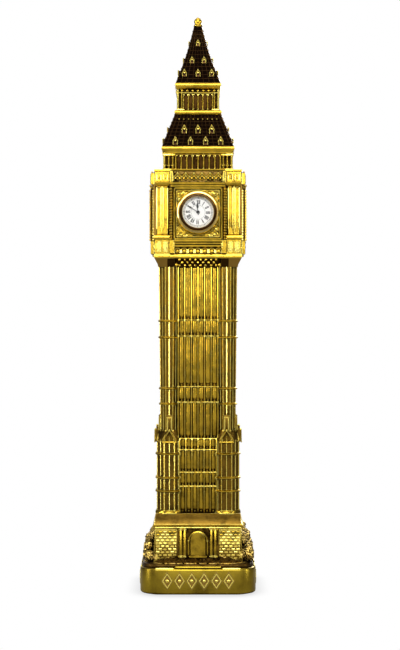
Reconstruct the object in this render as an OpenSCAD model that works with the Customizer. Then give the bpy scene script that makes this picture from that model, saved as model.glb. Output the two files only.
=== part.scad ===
// Miniature clock-tower souvenir: hollow metal castings stacked on a tie rod,
// with a press-in quartz clock insert in the front dial.
// Millimetres. +Z up, front faces -Y, origin under the middle of the base.

/* [Shaft] */
// Width across the corner turrets where the upper shaft is narrowest, at its foot
shaft_w = 47.8; // [42:0.2:58]
// How much wider the upper shaft is at its head than at its foot
shaft_flare = 2.8; // [0:0.1:4]
// Width across the flats of each octagonal corner turret
turret_af = 13; // [11:0.5:15.5]
// Height of the upper shaft
upper_shaft_h = 111.8; // [90:0.1:135]
// Height of the lower shaft, up to the joint behind its gables
lower_shaft_h = 48.4; // [40:0.1:58.2]
// How far the lower buttresses stand out past the upper turrets
buttress_step = 3; // [2.4:0.1:4]
// Width of each lower buttress
buttress_w = 8.7; // [7:0.1:9.5]
// Number of bays between the mullions of each panelled face
shaft_bays = 6; // [4:1:7]

/* [Base] */
// Width of the square plinth
plinth_w = 75; // [62:0.5:95]
// Height of the plinth casting
plinth_h = 16.7; // [13:0.1:20]
// Corner radius of the plinth
plinth_r = 12; // [9:0.5:15]
// Height of the podium from the plinth to the foot of the shaft
podium_h = 34.1; // [28:0.1:41]
// Thickness of the felt pad
felt_t = 1.5; // [1:0.1:2]
// Thickness of the steel base plate
plate_t = 1.5; // [1:0.1:2]

/* [Clock stage] */
// Height of the clock stage, its corbelled foot included
stage_h = 63.2; // [55:0.1:76]
// How far the stage's corner piers stand out past the head of the shaft
stage_out = 3.4; // [2:0.1:5]
// Width of each projecting dial panel
panel_w = 38; // [36:0.2:44]
// How far each dial panel stands out past the corner piers
panel_out = 3.3; // [2.5:0.1:5]

/* [Belfry, roofs and spire] */
// Width of the belfry across its corner piers
belfry_w = 45.4; // [40:0.2:54]
// Height of the belfry with its cornice
belfry_h = 15.8; // [13:0.1:19]
// Height of the lower roof
roof_h = 21.6; // [18:0.1:26]
// Width of the lantern across its corner piers
lantern_w = 28.7; // [25:0.1:34]
// Height of the lantern with its sill and cornice
lantern_h = 21.3; // [17.5:0.1:25.6]
// Height of the spire up to the finial's seat
spire_h = 39.7; // [33:0.1:48]
// Width of the spire where it is cut off for the finial
spire_top_w = 4.6; // [4:0.1:5.6]
// Height of the finial above its seat
finial_h = 6.6; // [5.4:0.1:8]

/* [Castings and tie rod] */
// Wall thickness of the castings
wall = 3; // [2.5:0.1:3.6]
// Height of the locating spigot on top of each casting
spigot_h = 3; // [2:0.1:4]
// Diameter of the threaded tie rod
rod_d = 5; // [4:0.1:6]

/* [Clock insert] */
// Diameter of the hole that the insert is pushed into
bore_d = 24; // [23.4:0.1:28.8]
// How far the bezel laps past the hole all round
bezel_lap = 1.5; // [1.2:0.1:2]
// Depth of the insert's case behind the dial panel
case_depth = 6.8; // [6.4:0.1:8.2]
// Height of the insert's centre above the foot of the clock stage
dial_rise = 35.1; // [34:0.1:42]

/* [Hidden] */

$fn = 64;
e = 0.01;              // overshoot of a cut past a face
fit = 0.2;             // clearance round a spigot or a rod hole
seat = 0.05;           // clearance round a pressed or screwed piece
run = 0.04;            // clearance round a turning shaft

gold = [0.83, 0.66, 0.22];
dark_patina = [0.16, 0.09, 0.05];
steel = [0.7, 0.7, 0.72];
bright_brass = [0.9, 0.75, 0.35];

// Stages, from the felt up
plinth_z = 0.8;                                // the felt stands this far below the rim
podium_z = plinth_z + plinth_h;
lower_z = podium_z + podium_h;
upper_z = lower_z + lower_shaft_h;
stage_z = upper_z + upper_shaft_h;
belfry_z = stage_z + stage_h;
roof_z = belfry_z + belfry_h;
lantern_z = roof_z + roof_h;
spire_z = lantern_z + lantern_h;
finial_z = spire_z + spire_h;

// Half widths of the stages
plinth_a = plinth_w / 2;
foot_a = shaft_w / 2;                          // upper shaft, foot
head_a = foot_a + shaft_flare / 2;             // upper shaft, head
groove = 3.3;                                  // depth of the groove beside a turret
shaft_core_a = foot_a - groove;                // plain core behind the panels
buttress_a = foot_a + buttress_step;
lower_core_a = buttress_a - 4.7;
podium_a = buttress_a + 1.4;
sill_a = podium_a + 0.8;
pier_a = head_a + stage_out;                   // clock stage, corner pier capitals
stage_core_a = pier_a - 1.5;
stage_mouth_a = head_a - wall;
panel_a = pier_a + panel_out;
belfry_a = belfry_w / 2;
belfry_core_a = belfry_a - 3;
belfry_cornice_a = belfry_a + 1.1;
lantern_a = lantern_w / 2;
lantern_core_a = lantern_a - 2.5;
lantern_ledge_a = lantern_a + 1.4;
roof_foot_a = belfry_cornice_a - 0.8;
roof_head_a = lantern_ledge_a - 0.4;
roof_mouth_a = roof_foot_a - wall - 1;
spire_foot_a = lantern_ledge_a - 1.2;
spire_top_a = spire_top_w / 2;

// Clock insert: its own frame has +z out of the dial and its origin on the panel's face
dial_z = stage_z + dial_rise;
bore_r = bore_d / 2;
bezel_r = bore_r + bezel_lap;
case_r = bore_r - 0.4;
case_t = 0.8;
case_in_r = case_r - case_t;
case_rim_z = 0.6;
bezel_h = 2.9;
opening_r = case_in_r - 0.9;
lens_r = opening_r + 0.35;
lens_z = 1.65;
lens_t = 0.85;
dial_t = 0.3;
dial_r = case_in_r - 0.1;
dial_top = -0.05;
rim_z = dial_top - dial_t;                      // the dial rests on the movement here
plate_x = 15.3;
plate_y = 17.8;
movement_r = case_in_r - 1.1;
plate_front = -1.2;
plate_back = -2.6;
bridge_back = -4.4;
back_t = 0.6;
stem_z = -3.5;
mid_z = (plate_back + bridge_back) / 2;          // middle of the bridge's thickness
stem_r = 0.5;
crown_r = 1.5;
crown_l = 1.7;
crown_x = case_in_r - 1.25;                     // inner end of the crown
crown_pull = 0.6;
stem_x = 2.2;                                   // inner end of the stem
lever_x = 3.8;
lever_t = 0.3;
lever_w = 2.4;
groove_r = 0.3;

// Motion work: the minute wheel steps the minute hand's turn down twelve times
cannon_n = 12;
minute_n = 36;
pinion_n = 10;
hour_n = 40;
gear_c = 3;                                     // centre distance
module_1 = 2 * gear_c / (cannon_n + minute_n);
module_2 = 2 * gear_c / (pinion_n + hour_n);
gear_dir = 125;                                 // direction of the minute wheel from the centre
post_r = 0.25;
cannon_r = 0.45;
hour_tube_r = 0.75;
train_z = [-1.15, -0.9, -0.86, -0.62];          // bottom and top of each gear layer
minute_angle = 302;                             // clockwise from twelve
hour_angle = 330 + minute_angle / 12;

// Places that repeat
sides = [0, 90, 180, 270];

module four_sides() {
    for (a = sides) rotate([0, 0, a]) children();
}

module slab(z0, z1, a) {
    translate([-a, -a, z0]) cube([2 * a, 2 * a, z1 - z0]);
}

// A square frustum with half widths a0 at z0 and a1 at z1
module frustum(z0, z1, a0, a1) {
    reach = 2 * max(a0, a1) + 2;
    outline = [[-a0, z0], [a0, z0], [a1, z1], [-a1, z1]];
    intersection() {
        rotate([90, 0, 0]) linear_extrude(reach, center = true) polygon(outline);
        rotate([90, 0, 90]) linear_extrude(reach, center = true) polygon(outline);
    }
}

// A square moulding that swells by out over its middle
module moulding(z0, z1, a, out) {
    third = (z1 - z0) / 3;
    frustum(z0, z0 + third, a, a + out);
    slab(z0 + third, z1 - third, a + out);
    frustum(z1 - third, z1, a + out, a);
}

module octagon(z0, z1, af) {
    translate([0, 0, z0]) rotate([0, 0, 22.5]) cylinder(r = af / 2 / cos(22.5), h = z1 - z0, $fn = 8);
}

// A box on the front face: from the face plane out to y = -out
module bar(x0, x1, z0, z1, from, out) {
    translate([x0, -out, z0]) cube([x1 - x0, out - from, z1 - z0]);
}

// An upright strip on the front face, w wide about x
module strip(x, w, z0, z1, from, out) {
    bar(x - w / 2, x + w / 2, z0, z1, from, out);
}

// A pointed panel on the front face, of width w, with its eaves at z1 and its peak rise above
module gable(x, w, z0, z1, rise, from, out) {
    translate([x, -from, 0]) rotate([90, 0, 0]) linear_extrude(out - from)
        polygon([[-w / 2, z0], [w / 2, z0], [w / 2, z1], [0, z1 + rise], [-w / 2, z1]]);
}

// The inside of a casting, open at the foot, with a rod hole in its ceiling
module cavity(z0, z1, a) {
    slab(z0 - e, z1 - wall, a);
    translate([0, 0, z0]) cylinder(d = rod_d + 2 * fit, h = z1 - z0 + spigot_h + 1);
}

// The register on top of a casting, which the next casting's cavity drops over
module spigot(z, next_cavity_a) {
    slab(z - e, z + spigot_h, next_cavity_a - fit);
}

function centred(n, pitch) = [for (i = [0 : n - 1]) (i - (n - 1) / 2) * pitch];

// ---------- base ----------

module rounded_square(a, r) {
    hull_a = a - r;
    square([2 * a, 2 * hull_a], center = true);
    square([2 * hull_a, 2 * a], center = true);
    for (x = [-hull_a, hull_a], y = [-hull_a, hull_a]) translate([x, y]) circle(r);
}

module rounded_slab(z0, z1, a, r) {
    translate([0, 0, z0]) linear_extrude(z1 - z0) rounded_square(a, r);
}

plate_z = felt_t;
plate_top = plate_z + plate_t;
rim_w = 4;                                       // width of the plinth's rim round the plate
pocket_a = plinth_a - rim_w;
pocket_r = plinth_r - rim_w;
screw_xy = pocket_a - 6;
boss_r = 3.6;
screw_r = 1.5;
screw_l = 8;
plinth_ceiling = podium_z - 3.5;

module base_felt() {
    color([0.1, 0.25, 0.14]) rounded_slab(0, felt_t, pocket_a - 0.4, pocket_r);
}

module at_screws() {
    for (x = [-screw_xy, screw_xy], y = [-screw_xy, screw_xy]) translate([x, y, 0]) children();
}

module base_plate() {
    color(steel) difference() {
        rounded_slab(plate_z, plate_top, pocket_a - fit, pocket_r);
        at_screws() translate([0, 0, plate_z - e])
            cylinder(r1 = 2 * screw_r, r2 = screw_r + seat, h = plate_t + 2 * e);
    }
}

module base_screws() {
    color(steel) at_screws() {
        translate([0, 0, plate_z]) cylinder(r1 = 2 * screw_r - 0.06, r2 = screw_r - 0.02, h = plate_t);
        translate([0, 0, plate_top - e]) cylinder(r = screw_r, h = screw_l);
    }
}

// Raised lozenges round the plinth's band, between two fillets
band_z0 = plinth_z + 3;
band_z1 = podium_z - 3.2;
lozenge_n = 6;
lozenge_pitch = (plinth_w - 2 * plinth_r) / lozenge_n * 0.86;

module lozenge(x) {
    mid = (band_z0 + band_z1) / 2;
    rise = (band_z1 - band_z0) / 2;
    translate([x, -plinth_a + 0.3, 0]) rotate([90, 0, 0]) linear_extrude(0.9)
        polygon([[-lozenge_pitch * 0.4, mid], [0, mid - rise], [lozenge_pitch * 0.4, mid], [0, mid + rise]]);
}

module plinth() {
    color(gold) difference() {
        union() {
            rounded_slab(plinth_z + 1.2, podium_z, plinth_a, plinth_r);
            rounded_slab(plinth_z, plinth_z + 1.2 + e, plinth_a - 0.8, plinth_r - 0.8);
            four_sides() for (x = centred(lozenge_n, lozenge_pitch)) lozenge(x);
            spigot(podium_z, podium_a - wall);
        }
        difference() {
            rounded_slab(plinth_z - e, plinth_ceiling, pocket_a, pocket_r);
            at_screws() translate([0, 0, plate_top]) cylinder(r = boss_r, h = plinth_h);
        }
        at_screws() translate([0, 0, plate_top - 1]) cylinder(r = screw_r + seat, h = screw_l + 1.5);
        translate([0, 0, plinth_z]) cylinder(d = rod_d + 2 * fit, h = plinth_h + spigot_h + 1);
    }
}

// Podium: a walled ground storey on a sloping bank, with a door on each of two faces
bank_h = 6;
bank_set = 1.2;                                  // the bank stops this far inside the plinth's edge
bank_a = plinth_a - bank_set;
wall_foot = podium_z + bank_h;
sill_z0 = lower_z - 9.2;
sill_z1 = lower_z - 7;
door_w = 13;
door_h = (sill_z0 - wall_foot) * 0.78;
pilaster_w = 1.6;
brick_h = 1.9;
brick_w = 3.3;
joint_w = 0.3;                                   // half the joint between two bricks
corner_strip = 2.6;

module arch(x, w, z0, h, from, out) {
    bar(x - w / 2, x + w / 2, z0, z0 + h - w / 2, from, out);
    translate([x, -from, z0 + h - w / 2]) rotate([90, 0, 0]) cylinder(d = w, h = out - from);
}

module brick_field(x0, x1) {
    rows = floor((sill_z0 - 1.5 - wall_foot) / brick_h);
    cols = floor((x1 - x0) / brick_w);
    for (r = [0 : rows - 1], c = [0 : cols - 1 - r % 2])
        let (left = x0 + (c + (r % 2) / 2) * brick_w, foot = wall_foot + r * brick_h)
        bar(left + joint_w, left + brick_w - joint_w, foot + joint_w, foot + brick_h - joint_w,
            podium_a - 1, podium_a + 0.35);
}

// The sloping bank that the podium stands in, kept within the plinth's rounded top
module bank() {
    intersection() {
        frustum(podium_z, wall_foot, bank_a, podium_a + 0.6);
        rounded_slab(podium_z - 1, wall_foot + 1, bank_a, plinth_r - bank_set);
    }
}

module podium() {
    field_in = door_w / 2 + 3 * pilaster_w + 1;
    field_out = podium_a - corner_strip;
    color(gold) difference() {
        union() {
            bank();
            slab(podium_z, sill_z0 + e, podium_a);
            slab(sill_z0, sill_z1, sill_a);
            frustum(sill_z1 - e, lower_z, sill_a, buttress_a);
            for (a = [0, 180]) rotate([0, 0, a]) {
                arch(0, door_w, wall_foot, door_h, podium_a - 1, podium_a + 0.9);
                for (s = [-1, 1], k = [0, 1])
                    strip(s * (door_w / 2 + (1.2 + 1.8 * k) * pilaster_w), pilaster_w,
                        wall_foot, sill_z0, podium_a - 1, podium_a + 0.8);
                brick_field(field_in, field_out);
                mirror([1, 0, 0]) brick_field(field_in, field_out);
            }
            four_sides() for (s = [-1, 1])
                strip(s * (podium_a - corner_strip / 2), corner_strip,
                    wall_foot, sill_z0, podium_a - 1, podium_a + 0.6);
            spigot(lower_z, lower_core_a - wall);
        }
        cavity(podium_z, lower_z, podium_a - wall);
    }
}

// Two banks of shrubs, bedded on the slope against the podium's blind faces
shrub_from = podium_a + 0.6;
shrub_n = 5;
shrub_h = 17;                                    // mean height of a shrub above the plinth
shrub_swing = 4;                                 // how much the shrubs' heights vary

module shrub_bank() {
    pitch = 2 * podium_a / shrub_n;
    r = pitch * 0.56;
    difference() {
        for (i = [0 : shrub_n - 1])
            let (x = (i - (shrub_n - 1) / 2) * pitch, tall = shrub_h + shrub_swing * cos(77 * i)) {
                translate([x, -shrub_from - 1, podium_z + r / 2]) cylinder(r = r, h = tall - r);
                translate([x, -shrub_from - 1, podium_z + tall - r / 2]) sphere(r = r);
            }
        slab(podium_z - plinth_h, lower_z, shrub_from);
        bank();
        difference() {
            slab(podium_z - plinth_h, lower_z, 2 * plinth_a);
            slab(podium_z - plinth_h - 1, lower_z + 1, bank_a);
        }
    }
}

module shrubs() {
    color([0.55, 0.42, 0.14]) for (a = [90, 270]) rotate([0, 0, a]) shrub_bank();
}

// ---------- shaft ----------

// One panelled face: mullions with a half-round rod in each bay
module panelled_face(z0, z1, half_w, face) {
    pitch = 2 * half_w / shaft_bays;
    bar(-half_w, half_w, z0, z1, face - 2.5, face - 1);
    for (x = centred(shaft_bays + 1, pitch)) bar(x - 0.45, x + 0.45, z0, z1, face - 2, face);
    for (x = centred(shaft_bays, pitch)) translate([x, -face + 1.1, z0]) cylinder(r = 0.95, h = z1 - z0);
}

panel_half = shaft_w / 2 - 10.2;
turret_c = foot_a - turret_af / 2;

gable_rise = 5.8;
gable_eaves = upper_z - 2.1;
lower_bands = [lower_z + 17, lower_z + 26.2, lower_z + 41.7];
panel_band_up = 3.3;                             // the panel's bands sit this far above the buttresses'

module lower_shaft() {
    mid = lower_core_a - buttress_w / 2;
    color(gold) difference() {
        union() {
            slab(lower_z, upper_z, lower_core_a);
            four_sides() {
                panelled_face(lower_z + 3.5, upper_z, lower_core_a - buttress_w - 0.8, lower_core_a + 0.9);
                for (z = [for (band = lower_bands) band + panel_band_up, upper_z - 0.6])
                    bar(-mid, mid, z - 0.6, z + 0.6, lower_core_a - 1, lower_core_a + 1.4);
                for (s = [-1, 1]) {
                    strip(s * mid, buttress_w, lower_z, gable_eaves, lower_core_a - 2, buttress_a);
                    gable(s * mid, buttress_w + 1.6, gable_eaves - 1.5, gable_eaves, gable_rise,
                        foot_a + 0.15, buttress_a + 1.2);
                    for (z = lower_bands)
                        strip(s * mid, buttress_w + 0.8, z - 0.6, z + 0.6,
                            lower_core_a - 1, buttress_a + 0.6);
                }
            }
            spigot(upper_z, shaft_core_a - wall);
        }
        cavity(lower_z, upper_z, lower_core_a - wall);
    }
}

// The shaft's storeys, foot to head: its string courses stand at these shares of its height
course_share = [0, 0.21, 0.302, 0.598, 0.692, 1];
course_z = [for (share = course_share) upper_z + (share == 1 ? upper_shaft_h : round(share * upper_shaft_h))];
function shaft_a(i) = foot_a + (head_a - foot_a) * i / 4;

module upper_shaft() {
    color(gold) difference() {
        union() {
            slab(upper_z, stage_z, shaft_core_a);
            four_sides() panelled_face(upper_z, stage_z, panel_half, foot_a - 0.9);
            for (i = [0 : 4]) {
                z0 = course_z[i];
                z1 = course_z[i + 1];
                af = turret_af + shaft_a(i) - foot_a;
                c = shaft_a(i) - af / 2;
                for (x = [-c, c], y = [-c, c]) translate([x, y, 0]) {
                    octagon(z0, z1, af);
                    if (i > 0) octagon(z0 - 0.6, z0 + 0.6, af + 1.2);
                }
                if (i > 0) four_sides()
                    strip(0, 2 * panel_half + 0.6, z0 + 0.4, z0 + 1.6, shaft_core_a - 1, foot_a - 0.3);
            }
            // set-offs above the gables, on each turret's face
            four_sides() for (s = [-1, 1])
                strip(s * turret_c, 4.8, upper_z + gable_rise, upper_z + gable_rise + 8.5,
                    foot_a - 2, foot_a + 1.6);
            spigot(stage_z, stage_mouth_a);
        }
        cavity(upper_z, stage_z, shaft_core_a - wall);
    }
}

// ---------- clock stage ----------

corbel_h = 5.7;
lip_h = 2.6;
box_z = stage_z + corbel_h + lip_h;               // foot of the piers and panels
capital_h = 9;
base_h = 8.7;
torus_h = 3.6;
drop_n = 7;
pocket_half = case_r + crown_pull + 2;            // room behind the dial for the insert

module pier(sx, sy) {
    w = pier_a - panel_w / 2;
    c = pier_a - w / 2;
    top = belfry_z;
    translate([sx * c, sy * c, 0]) {
        slab(box_z - e, box_z + base_h, w / 2 - 0.5);
        moulding(box_z + base_h, box_z + base_h + torus_h, w / 2 - 0.5, 0.8);
        slab(box_z + base_h + torus_h - e, top - capital_h, w / 2 - 1.3);
        slab(top - capital_h, top, w / 2);
    }
}

module dial_panel() {
    half = panel_w / 2;
    bar(-half, half, box_z, belfry_z - 3, stage_core_a - 1, panel_a - 1);
    // moulded frame round the dial field
    bar(-half, -half + 3, box_z, belfry_z - 0.7, stage_core_a - 1, panel_a);
    bar(half - 3, half, box_z, belfry_z - 0.7, stage_core_a - 1, panel_a);
    bar(-half, half, belfry_z - 12, belfry_z - 8.5, panel_a - 2, panel_a);
    bar(-half, half, box_z + 4, box_z + 9, panel_a - 2, panel_a);
    bar(-half, half, box_z, box_z + 0.8, panel_a - 2, panel_a);
    pitch = (panel_w - 6) / drop_n;
    for (x = centred(drop_n, pitch)) arch(x, pitch * 0.6, box_z + 0.8, 3, panel_a - 2, panel_a - 0.1);
    gablet = (panel_w - 6) / 6;
    for (x = centred(6, gablet))
        gable(x, gablet, belfry_z - 8.5, belfry_z - 4.4, 3.7, panel_a - 2.4, panel_a - 0.2);
    // field behind the bezel, and the low ring round it
    at_dial() {
        disc(-2, 0, bezel_r + 1.1);
        ring(-e, 0.3, bezel_r + 0.25, bezel_r + 1.1);
    }
}

module blind_dial() {
    at_dial() {
        disc(-e, 0.6, bezel_r);
        ring(0.6 - e, 1.6, opening_r, bezel_r);
        disc(0, 1.2, 1);
    }
}

module clock_stage() {
    color(gold) difference() {
        union() {
            frustum(stage_z, stage_z + corbel_h, head_a + 0.1, pier_a - 0.3);
            slab(stage_z + corbel_h - e, box_z, pier_a - 0.2);
            slab(box_z - e, belfry_z, stage_core_a);
            for (sx = [-1, 1], sy = [-1, 1]) pier(sx, sy);
            four_sides() dial_panel();
            for (a = [90, 180, 270]) rotate([0, 0, a]) blind_dial();
            spigot(belfry_z, belfry_core_a - wall);
        }
        slab(stage_z - e, stage_z + corbel_h + e, stage_mouth_a);
        cavity(stage_z + corbel_h, belfry_z, stage_core_a - wall);
        // pocket behind the dial panel, and the insert's hole
        at_dial() {
            block(-pocket_half, pocket_half, -pocket_half, pocket_half, -13.2, -3.2);
            disc(-7, 5, bore_r);
        }
    }
}

// ---------- belfry, roofs and spire ----------

// A row of round-headed openings between thin shafts
module arcade(half_w, n, z0, z1, core, face) {
    pitch = 2 * half_w / n;
    for (x = centred(n + 1, pitch)) translate([x, -face + 0.6, z0]) cylinder(r = 0.6, h = z1 - z0 - 1);
    bar(-half_w, half_w, z1 - 1.4, z1, core - 1, face);
    for (x = centred(n, pitch)) arch(x, pitch * 0.55, z0, (z1 - z0) * 0.55, core - 1, core + 1.2);
}

module corner_piers(z0, z1, a, w) {
    c = a - w / 2;
    for (x = [-c, c], y = [-c, c]) translate([x, y, 0]) slab(z0, z1, w / 2);
}

module corner_ribs(z0, z1, a, w) {
    four_sides() for (s = [-1, 1], k = [0.25, 0.75])
        let (x = s * (a - w * k)) bar(x - 0.5, x + 0.5, z0, z1, a - 1, a + 0.5);
}

belfry_pier_w = 7.8;
lantern_pier_w = 4.4;
cornice_h = 3.3;

module belfry() {
    top = roof_z - cornice_h;
    color(gold) difference() {
        union() {
            slab(belfry_z, roof_z, belfry_core_a);
            corner_piers(belfry_z, top + e, belfry_a - 0.5, belfry_pier_w - 0.5);
            corner_ribs(belfry_z, top, belfry_a - 0.5, belfry_pier_w - 0.5);
            four_sides() arcade(belfry_a - belfry_pier_w, 6, belfry_z, top, belfry_core_a, belfry_a - 0.6);
            frustum(top - e, top + 0.9, belfry_a, belfry_cornice_a);
            slab(top + 0.9 - e, roof_z, belfry_cornice_a);
            spigot(roof_z, roof_mouth_a);
        }
        cavity(belfry_z, roof_z, belfry_core_a - wall);
    }
}

// A gabled dormer whose face stands at y = -out
module dormer(x, z, w, h, from, out) {
    difference() {
        gable(x, w, z, z + h * 0.55, h * 0.45, from, out);
        bar(x - w / 4, x + w / 4, z + h * 0.08, z + h * 0.55, out - 0.6, out + 1);
    }
}

function roof_face(z) = roof_foot_a + (roof_head_a - roof_foot_a) * (z - roof_z) / roof_h;
function spire_face(z) = spire_foot_a + (spire_top_a - spire_foot_a) * (z - spire_z) / spire_h;

module lower_roof() {
    color(dark_patina) difference() {
        union() {
            frustum(roof_z, lantern_z, roof_foot_a, roof_head_a);
            four_sides() {
                for (x = centred(4, roof_foot_a * 0.43))
                    dormer(x, roof_z + 1, 4, 5.4, roof_face(roof_z + 6) - 2, roof_face(roof_z + 1) + 0.7);
                for (x = centred(3, roof_foot_a * 0.41))
                    dormer(x, roof_z + 8, 4, 5.6, roof_face(roof_z + 14) - 2, roof_face(roof_z + 8) + 0.9);
            }
            spigot(lantern_z, lantern_core_a - wall);
        }
        slab(roof_z - e, roof_z + spigot_h + 0.5, roof_mouth_a);
        frustum(roof_z - e, lantern_z - wall, roof_mouth_a, roof_head_a - wall - 1);
        translate([0, 0, roof_z]) cylinder(d = rod_d + 2 * fit, h = roof_h + spigot_h + 1);
    }
}

module lantern() {
    foot = lantern_z + 3;
    top = spire_z - cornice_h;
    color(gold) difference() {
        union() {
            slab(lantern_z, spire_z, lantern_core_a);
            slab(lantern_z, foot, lantern_ledge_a);
            corner_piers(foot - e, top + e, lantern_a - 0.4, lantern_pier_w);
            four_sides() arcade(lantern_a - lantern_pier_w, 5, foot, top, lantern_core_a, lantern_a - 0.4);
            frustum(top - e, top + 0.9, lantern_a, lantern_ledge_a);
            slab(top + 0.9 - e, spire_z, lantern_ledge_a);
            spigot(spire_z, lantern_core_a - wall);
        }
        cavity(lantern_z, spire_z, lantern_core_a - wall);
    }
}

rod_top = spire_z + 17;
finial_pin_r = 0.9;
finial_pin_l = 5;

module spire_dormer(x, rise, w, h) {
    z = spire_z + rise;
    dormer(x, z, w, h, spire_face(z + h) - 1, spire_face(z) + 0.8);
}

module spire() {
    color(dark_patina) difference() {
        union() {
            frustum(spire_z, finial_z, spire_foot_a, spire_top_a);
            four_sides() {
                for (x = centred(3, spire_foot_a * 0.62)) spire_dormer(x, 5.5, 3.8, 4.6);
                for (x = centred(2, spire_foot_a * 0.56)) spire_dormer(x, 13.5, 3.2, 4);
                spire_dormer(0, 24, 2.8, 3.6);
            }
        }
        slab(spire_z - e, spire_z + spigot_h + 1, lantern_core_a - wall);
        translate([0, 0, spire_z]) cylinder(r = rod_d / 2 + seat, h = rod_top - spire_z + 1);
        disc(finial_z - finial_pin_l - 0.5, finial_z + 1, finial_pin_r + seat);
    }
}

module finial() {
    color(bright_brass) translate([0, 0, finial_z]) {
        translate([0, 0, -finial_pin_l]) cylinder(r = finial_pin_r, h = finial_pin_l + 1);
        rotate_extrude() polygon([
            [0, 0], [spire_top_a + 0.1, 0], [spire_top_a + 0.5, finial_h * 0.15],
            [spire_top_a, finial_h * 0.28], [spire_top_a + 0.4, finial_h * 0.45],
            [spire_top_a * 0.85, finial_h * 0.7], [spire_top_a * 0.4, finial_h * 0.9], [0, finial_h]
        ]);
    }
}

// ---------- tie rod ----------

nut_af = 1.6 * rod_d;
nut_h = 0.8 * rod_d;
washer_t = 1;
washer_z = plinth_ceiling - washer_t;

module tie_rod() {
    color(steel) translate([0, 0, washer_z - nut_h - 1.5])
        cylinder(d = rod_d, h = rod_top - washer_z + nut_h + 1.5);
}

module rod_washer() {
    color(steel) translate([0, 0, washer_z]) difference() {
        cylinder(d = 3 * rod_d, h = washer_t);
        translate([0, 0, -1]) cylinder(d = rod_d + 2 * fit, h = washer_t + 2);
    }
}

module rod_nut() {
    color(steel) translate([0, 0, washer_z - nut_h]) difference() {
        cylinder(d = nut_af / cos(30), h = nut_h, $fn = 6);
        translate([0, 0, -1]) cylinder(r = rod_d / 2 + seat, h = nut_h + 2);
    }
}

// ---------- clock insert ----------

// Puts its children in the insert's own frame
module at_dial() {
    translate([0, -panel_a, dial_z]) rotate([90, 0, 0]) children();
}

module disc(z0, z1, r) {
    translate([0, 0, z0]) cylinder(r = r, h = z1 - z0);
}

module ring(z0, z1, r0, r1) {
    difference() {
        disc(z0, z1, r1);
        disc(z0 - 1, z1 + 1, r0);
    }
}

module block(x0, x1, y0, y1, z0, z1) {
    translate([x0, y0, z0]) cube([x1 - x0, y1 - y0, z1 - z0]);
}

case_back_z = -case_depth + back_t;
crown_room = 0.4;                                // round the crown, in its pocket
crown_pocket_x = crown_x - 0.2;
housing_t = 0.5;

// The crown's pocket in the side of the case, or with grow the wall round it
module crown_pocket(grow) {
    half = crown_r + crown_room + grow;
    block(crown_pocket_x - grow, case_r + 2, -half, half, max(stem_z - half, case_back_z), stem_z + half);
}

grip_z0 = -2.3;
grip_z1 = -1.1;
grip_groove = 0.4;

module insert_case() {
    color(bright_brass) at_dial() difference() {
        union() {
            ring(case_back_z, case_rim_z, case_in_r, case_r);
            intersection() {
                disc(case_back_z, case_rim_z, case_r);
                crown_pocket(housing_t);
            }
        }
        crown_pocket(0);
        ring(grip_z0, grip_z1, case_r - grip_groove, case_r + 1);
        translate([0, 0, stem_z]) rotate([0, 90, 0]) cylinder(r = stem_r + seat, h = case_r);
    }
}

module grip_ring() {
    color([0.12, 0.12, 0.12]) at_dial() difference() {
        ring(grip_z0 + 0.02, grip_z1 - 0.02, case_r - grip_groove + 0.01, bore_r - 0.03);
        crown_pocket(0);
    }
}

module insert_back() {
    lip_r = case_in_r - seat;
    color(steel) at_dial() difference() {
        union() {
            disc(case_back_z - back_t, case_back_z, case_r - 0.1);
            ring(case_back_z - e, case_back_z + 0.8, lip_r - 0.5, lip_r);
        }
        block(crown_pocket_x - housing_t - 0.3, case_r, -crown_r - 1.3, crown_r + 1.3,
            case_back_z, case_back_z + 2);
    }
}

module insert_bezel() {
    color(bright_brass) at_dial() rotate_extrude() polygon([
        [opening_r, 0], [case_in_r - 0.05, 0], [case_in_r - 0.05, case_rim_z + 0.05],
        [case_r + 0.05, case_rim_z + 0.05], [case_r + 0.05, 0.02], [bezel_r, 0.02], [bezel_r, 0.7],
        [bezel_r - 0.3, 1.2], [bezel_r - 1, 1.45], [bezel_r - 1.4, 1.4], [bezel_r - 1.9, 2.3],
        [lens_r + 0.7, bezel_h], [lens_r + 0.05, bezel_h], [lens_r + 0.05, lens_z], [opening_r, lens_z]
    ]);
}

module insert_lens() {
    color([0.9, 0.95, 1, 0.3]) at_dial() disc(lens_z, lens_z + lens_t, lens_r);
}

module insert_dial() {
    color([0.95, 0.95, 0.93]) at_dial() ring(rim_z, dial_top, hour_tube_r + 0.15, dial_r);
}

module spacer_ring() {
    color([0.9, 0.9, 0.88]) at_dial() difference() {
        disc(bridge_back, rim_z, case_in_r - 0.1);
        plate_outline(bridge_back - 1, 0, grow = 0.1);
        block(crown_pocket_x - housing_t - 0.1, case_r + 1, -crown_r - 1.1, crown_r + 1.1,
            bridge_back - 1, 0);
        translate([0, 0, stem_z]) rotate([0, 90, 0]) cylinder(r = stem_r + fit, h = case_r);
    }
}

battery_xy = [-1.6, -4.9];
battery_r = 3.4;
battery_z0 = -4.5;
battery_z1 = -1.95;
coil_y = 6.3;
coil_r = 0.95;
coil_l = 8;
can_x = 5;
can_y = -7;
can_r = 0.7;
can_l = 3;
bridge_screw_xy = [[-5.8, 3.2], [5.9, 3.4], [-5.9, -6.6]];

// The movement is a rectangle with its corners turned off round a circle
module plate_outline(z0, z1, grow = 0) {
    intersection() {
        block(-plate_x / 2 - grow, plate_x / 2 + grow, -plate_y / 2 - grow, plate_y / 2 + grow, z0, z1);
        disc(z0, z1, movement_r + grow);
    }
}

module at_battery() {
    translate([battery_xy.x, battery_xy.y, 0]) children();
}

module at_minute_wheel() {
    rotate([0, 0, gear_dir]) translate([gear_c, 0, 0]) rotate([0, 0, -gear_dir]) children();
}

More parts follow.
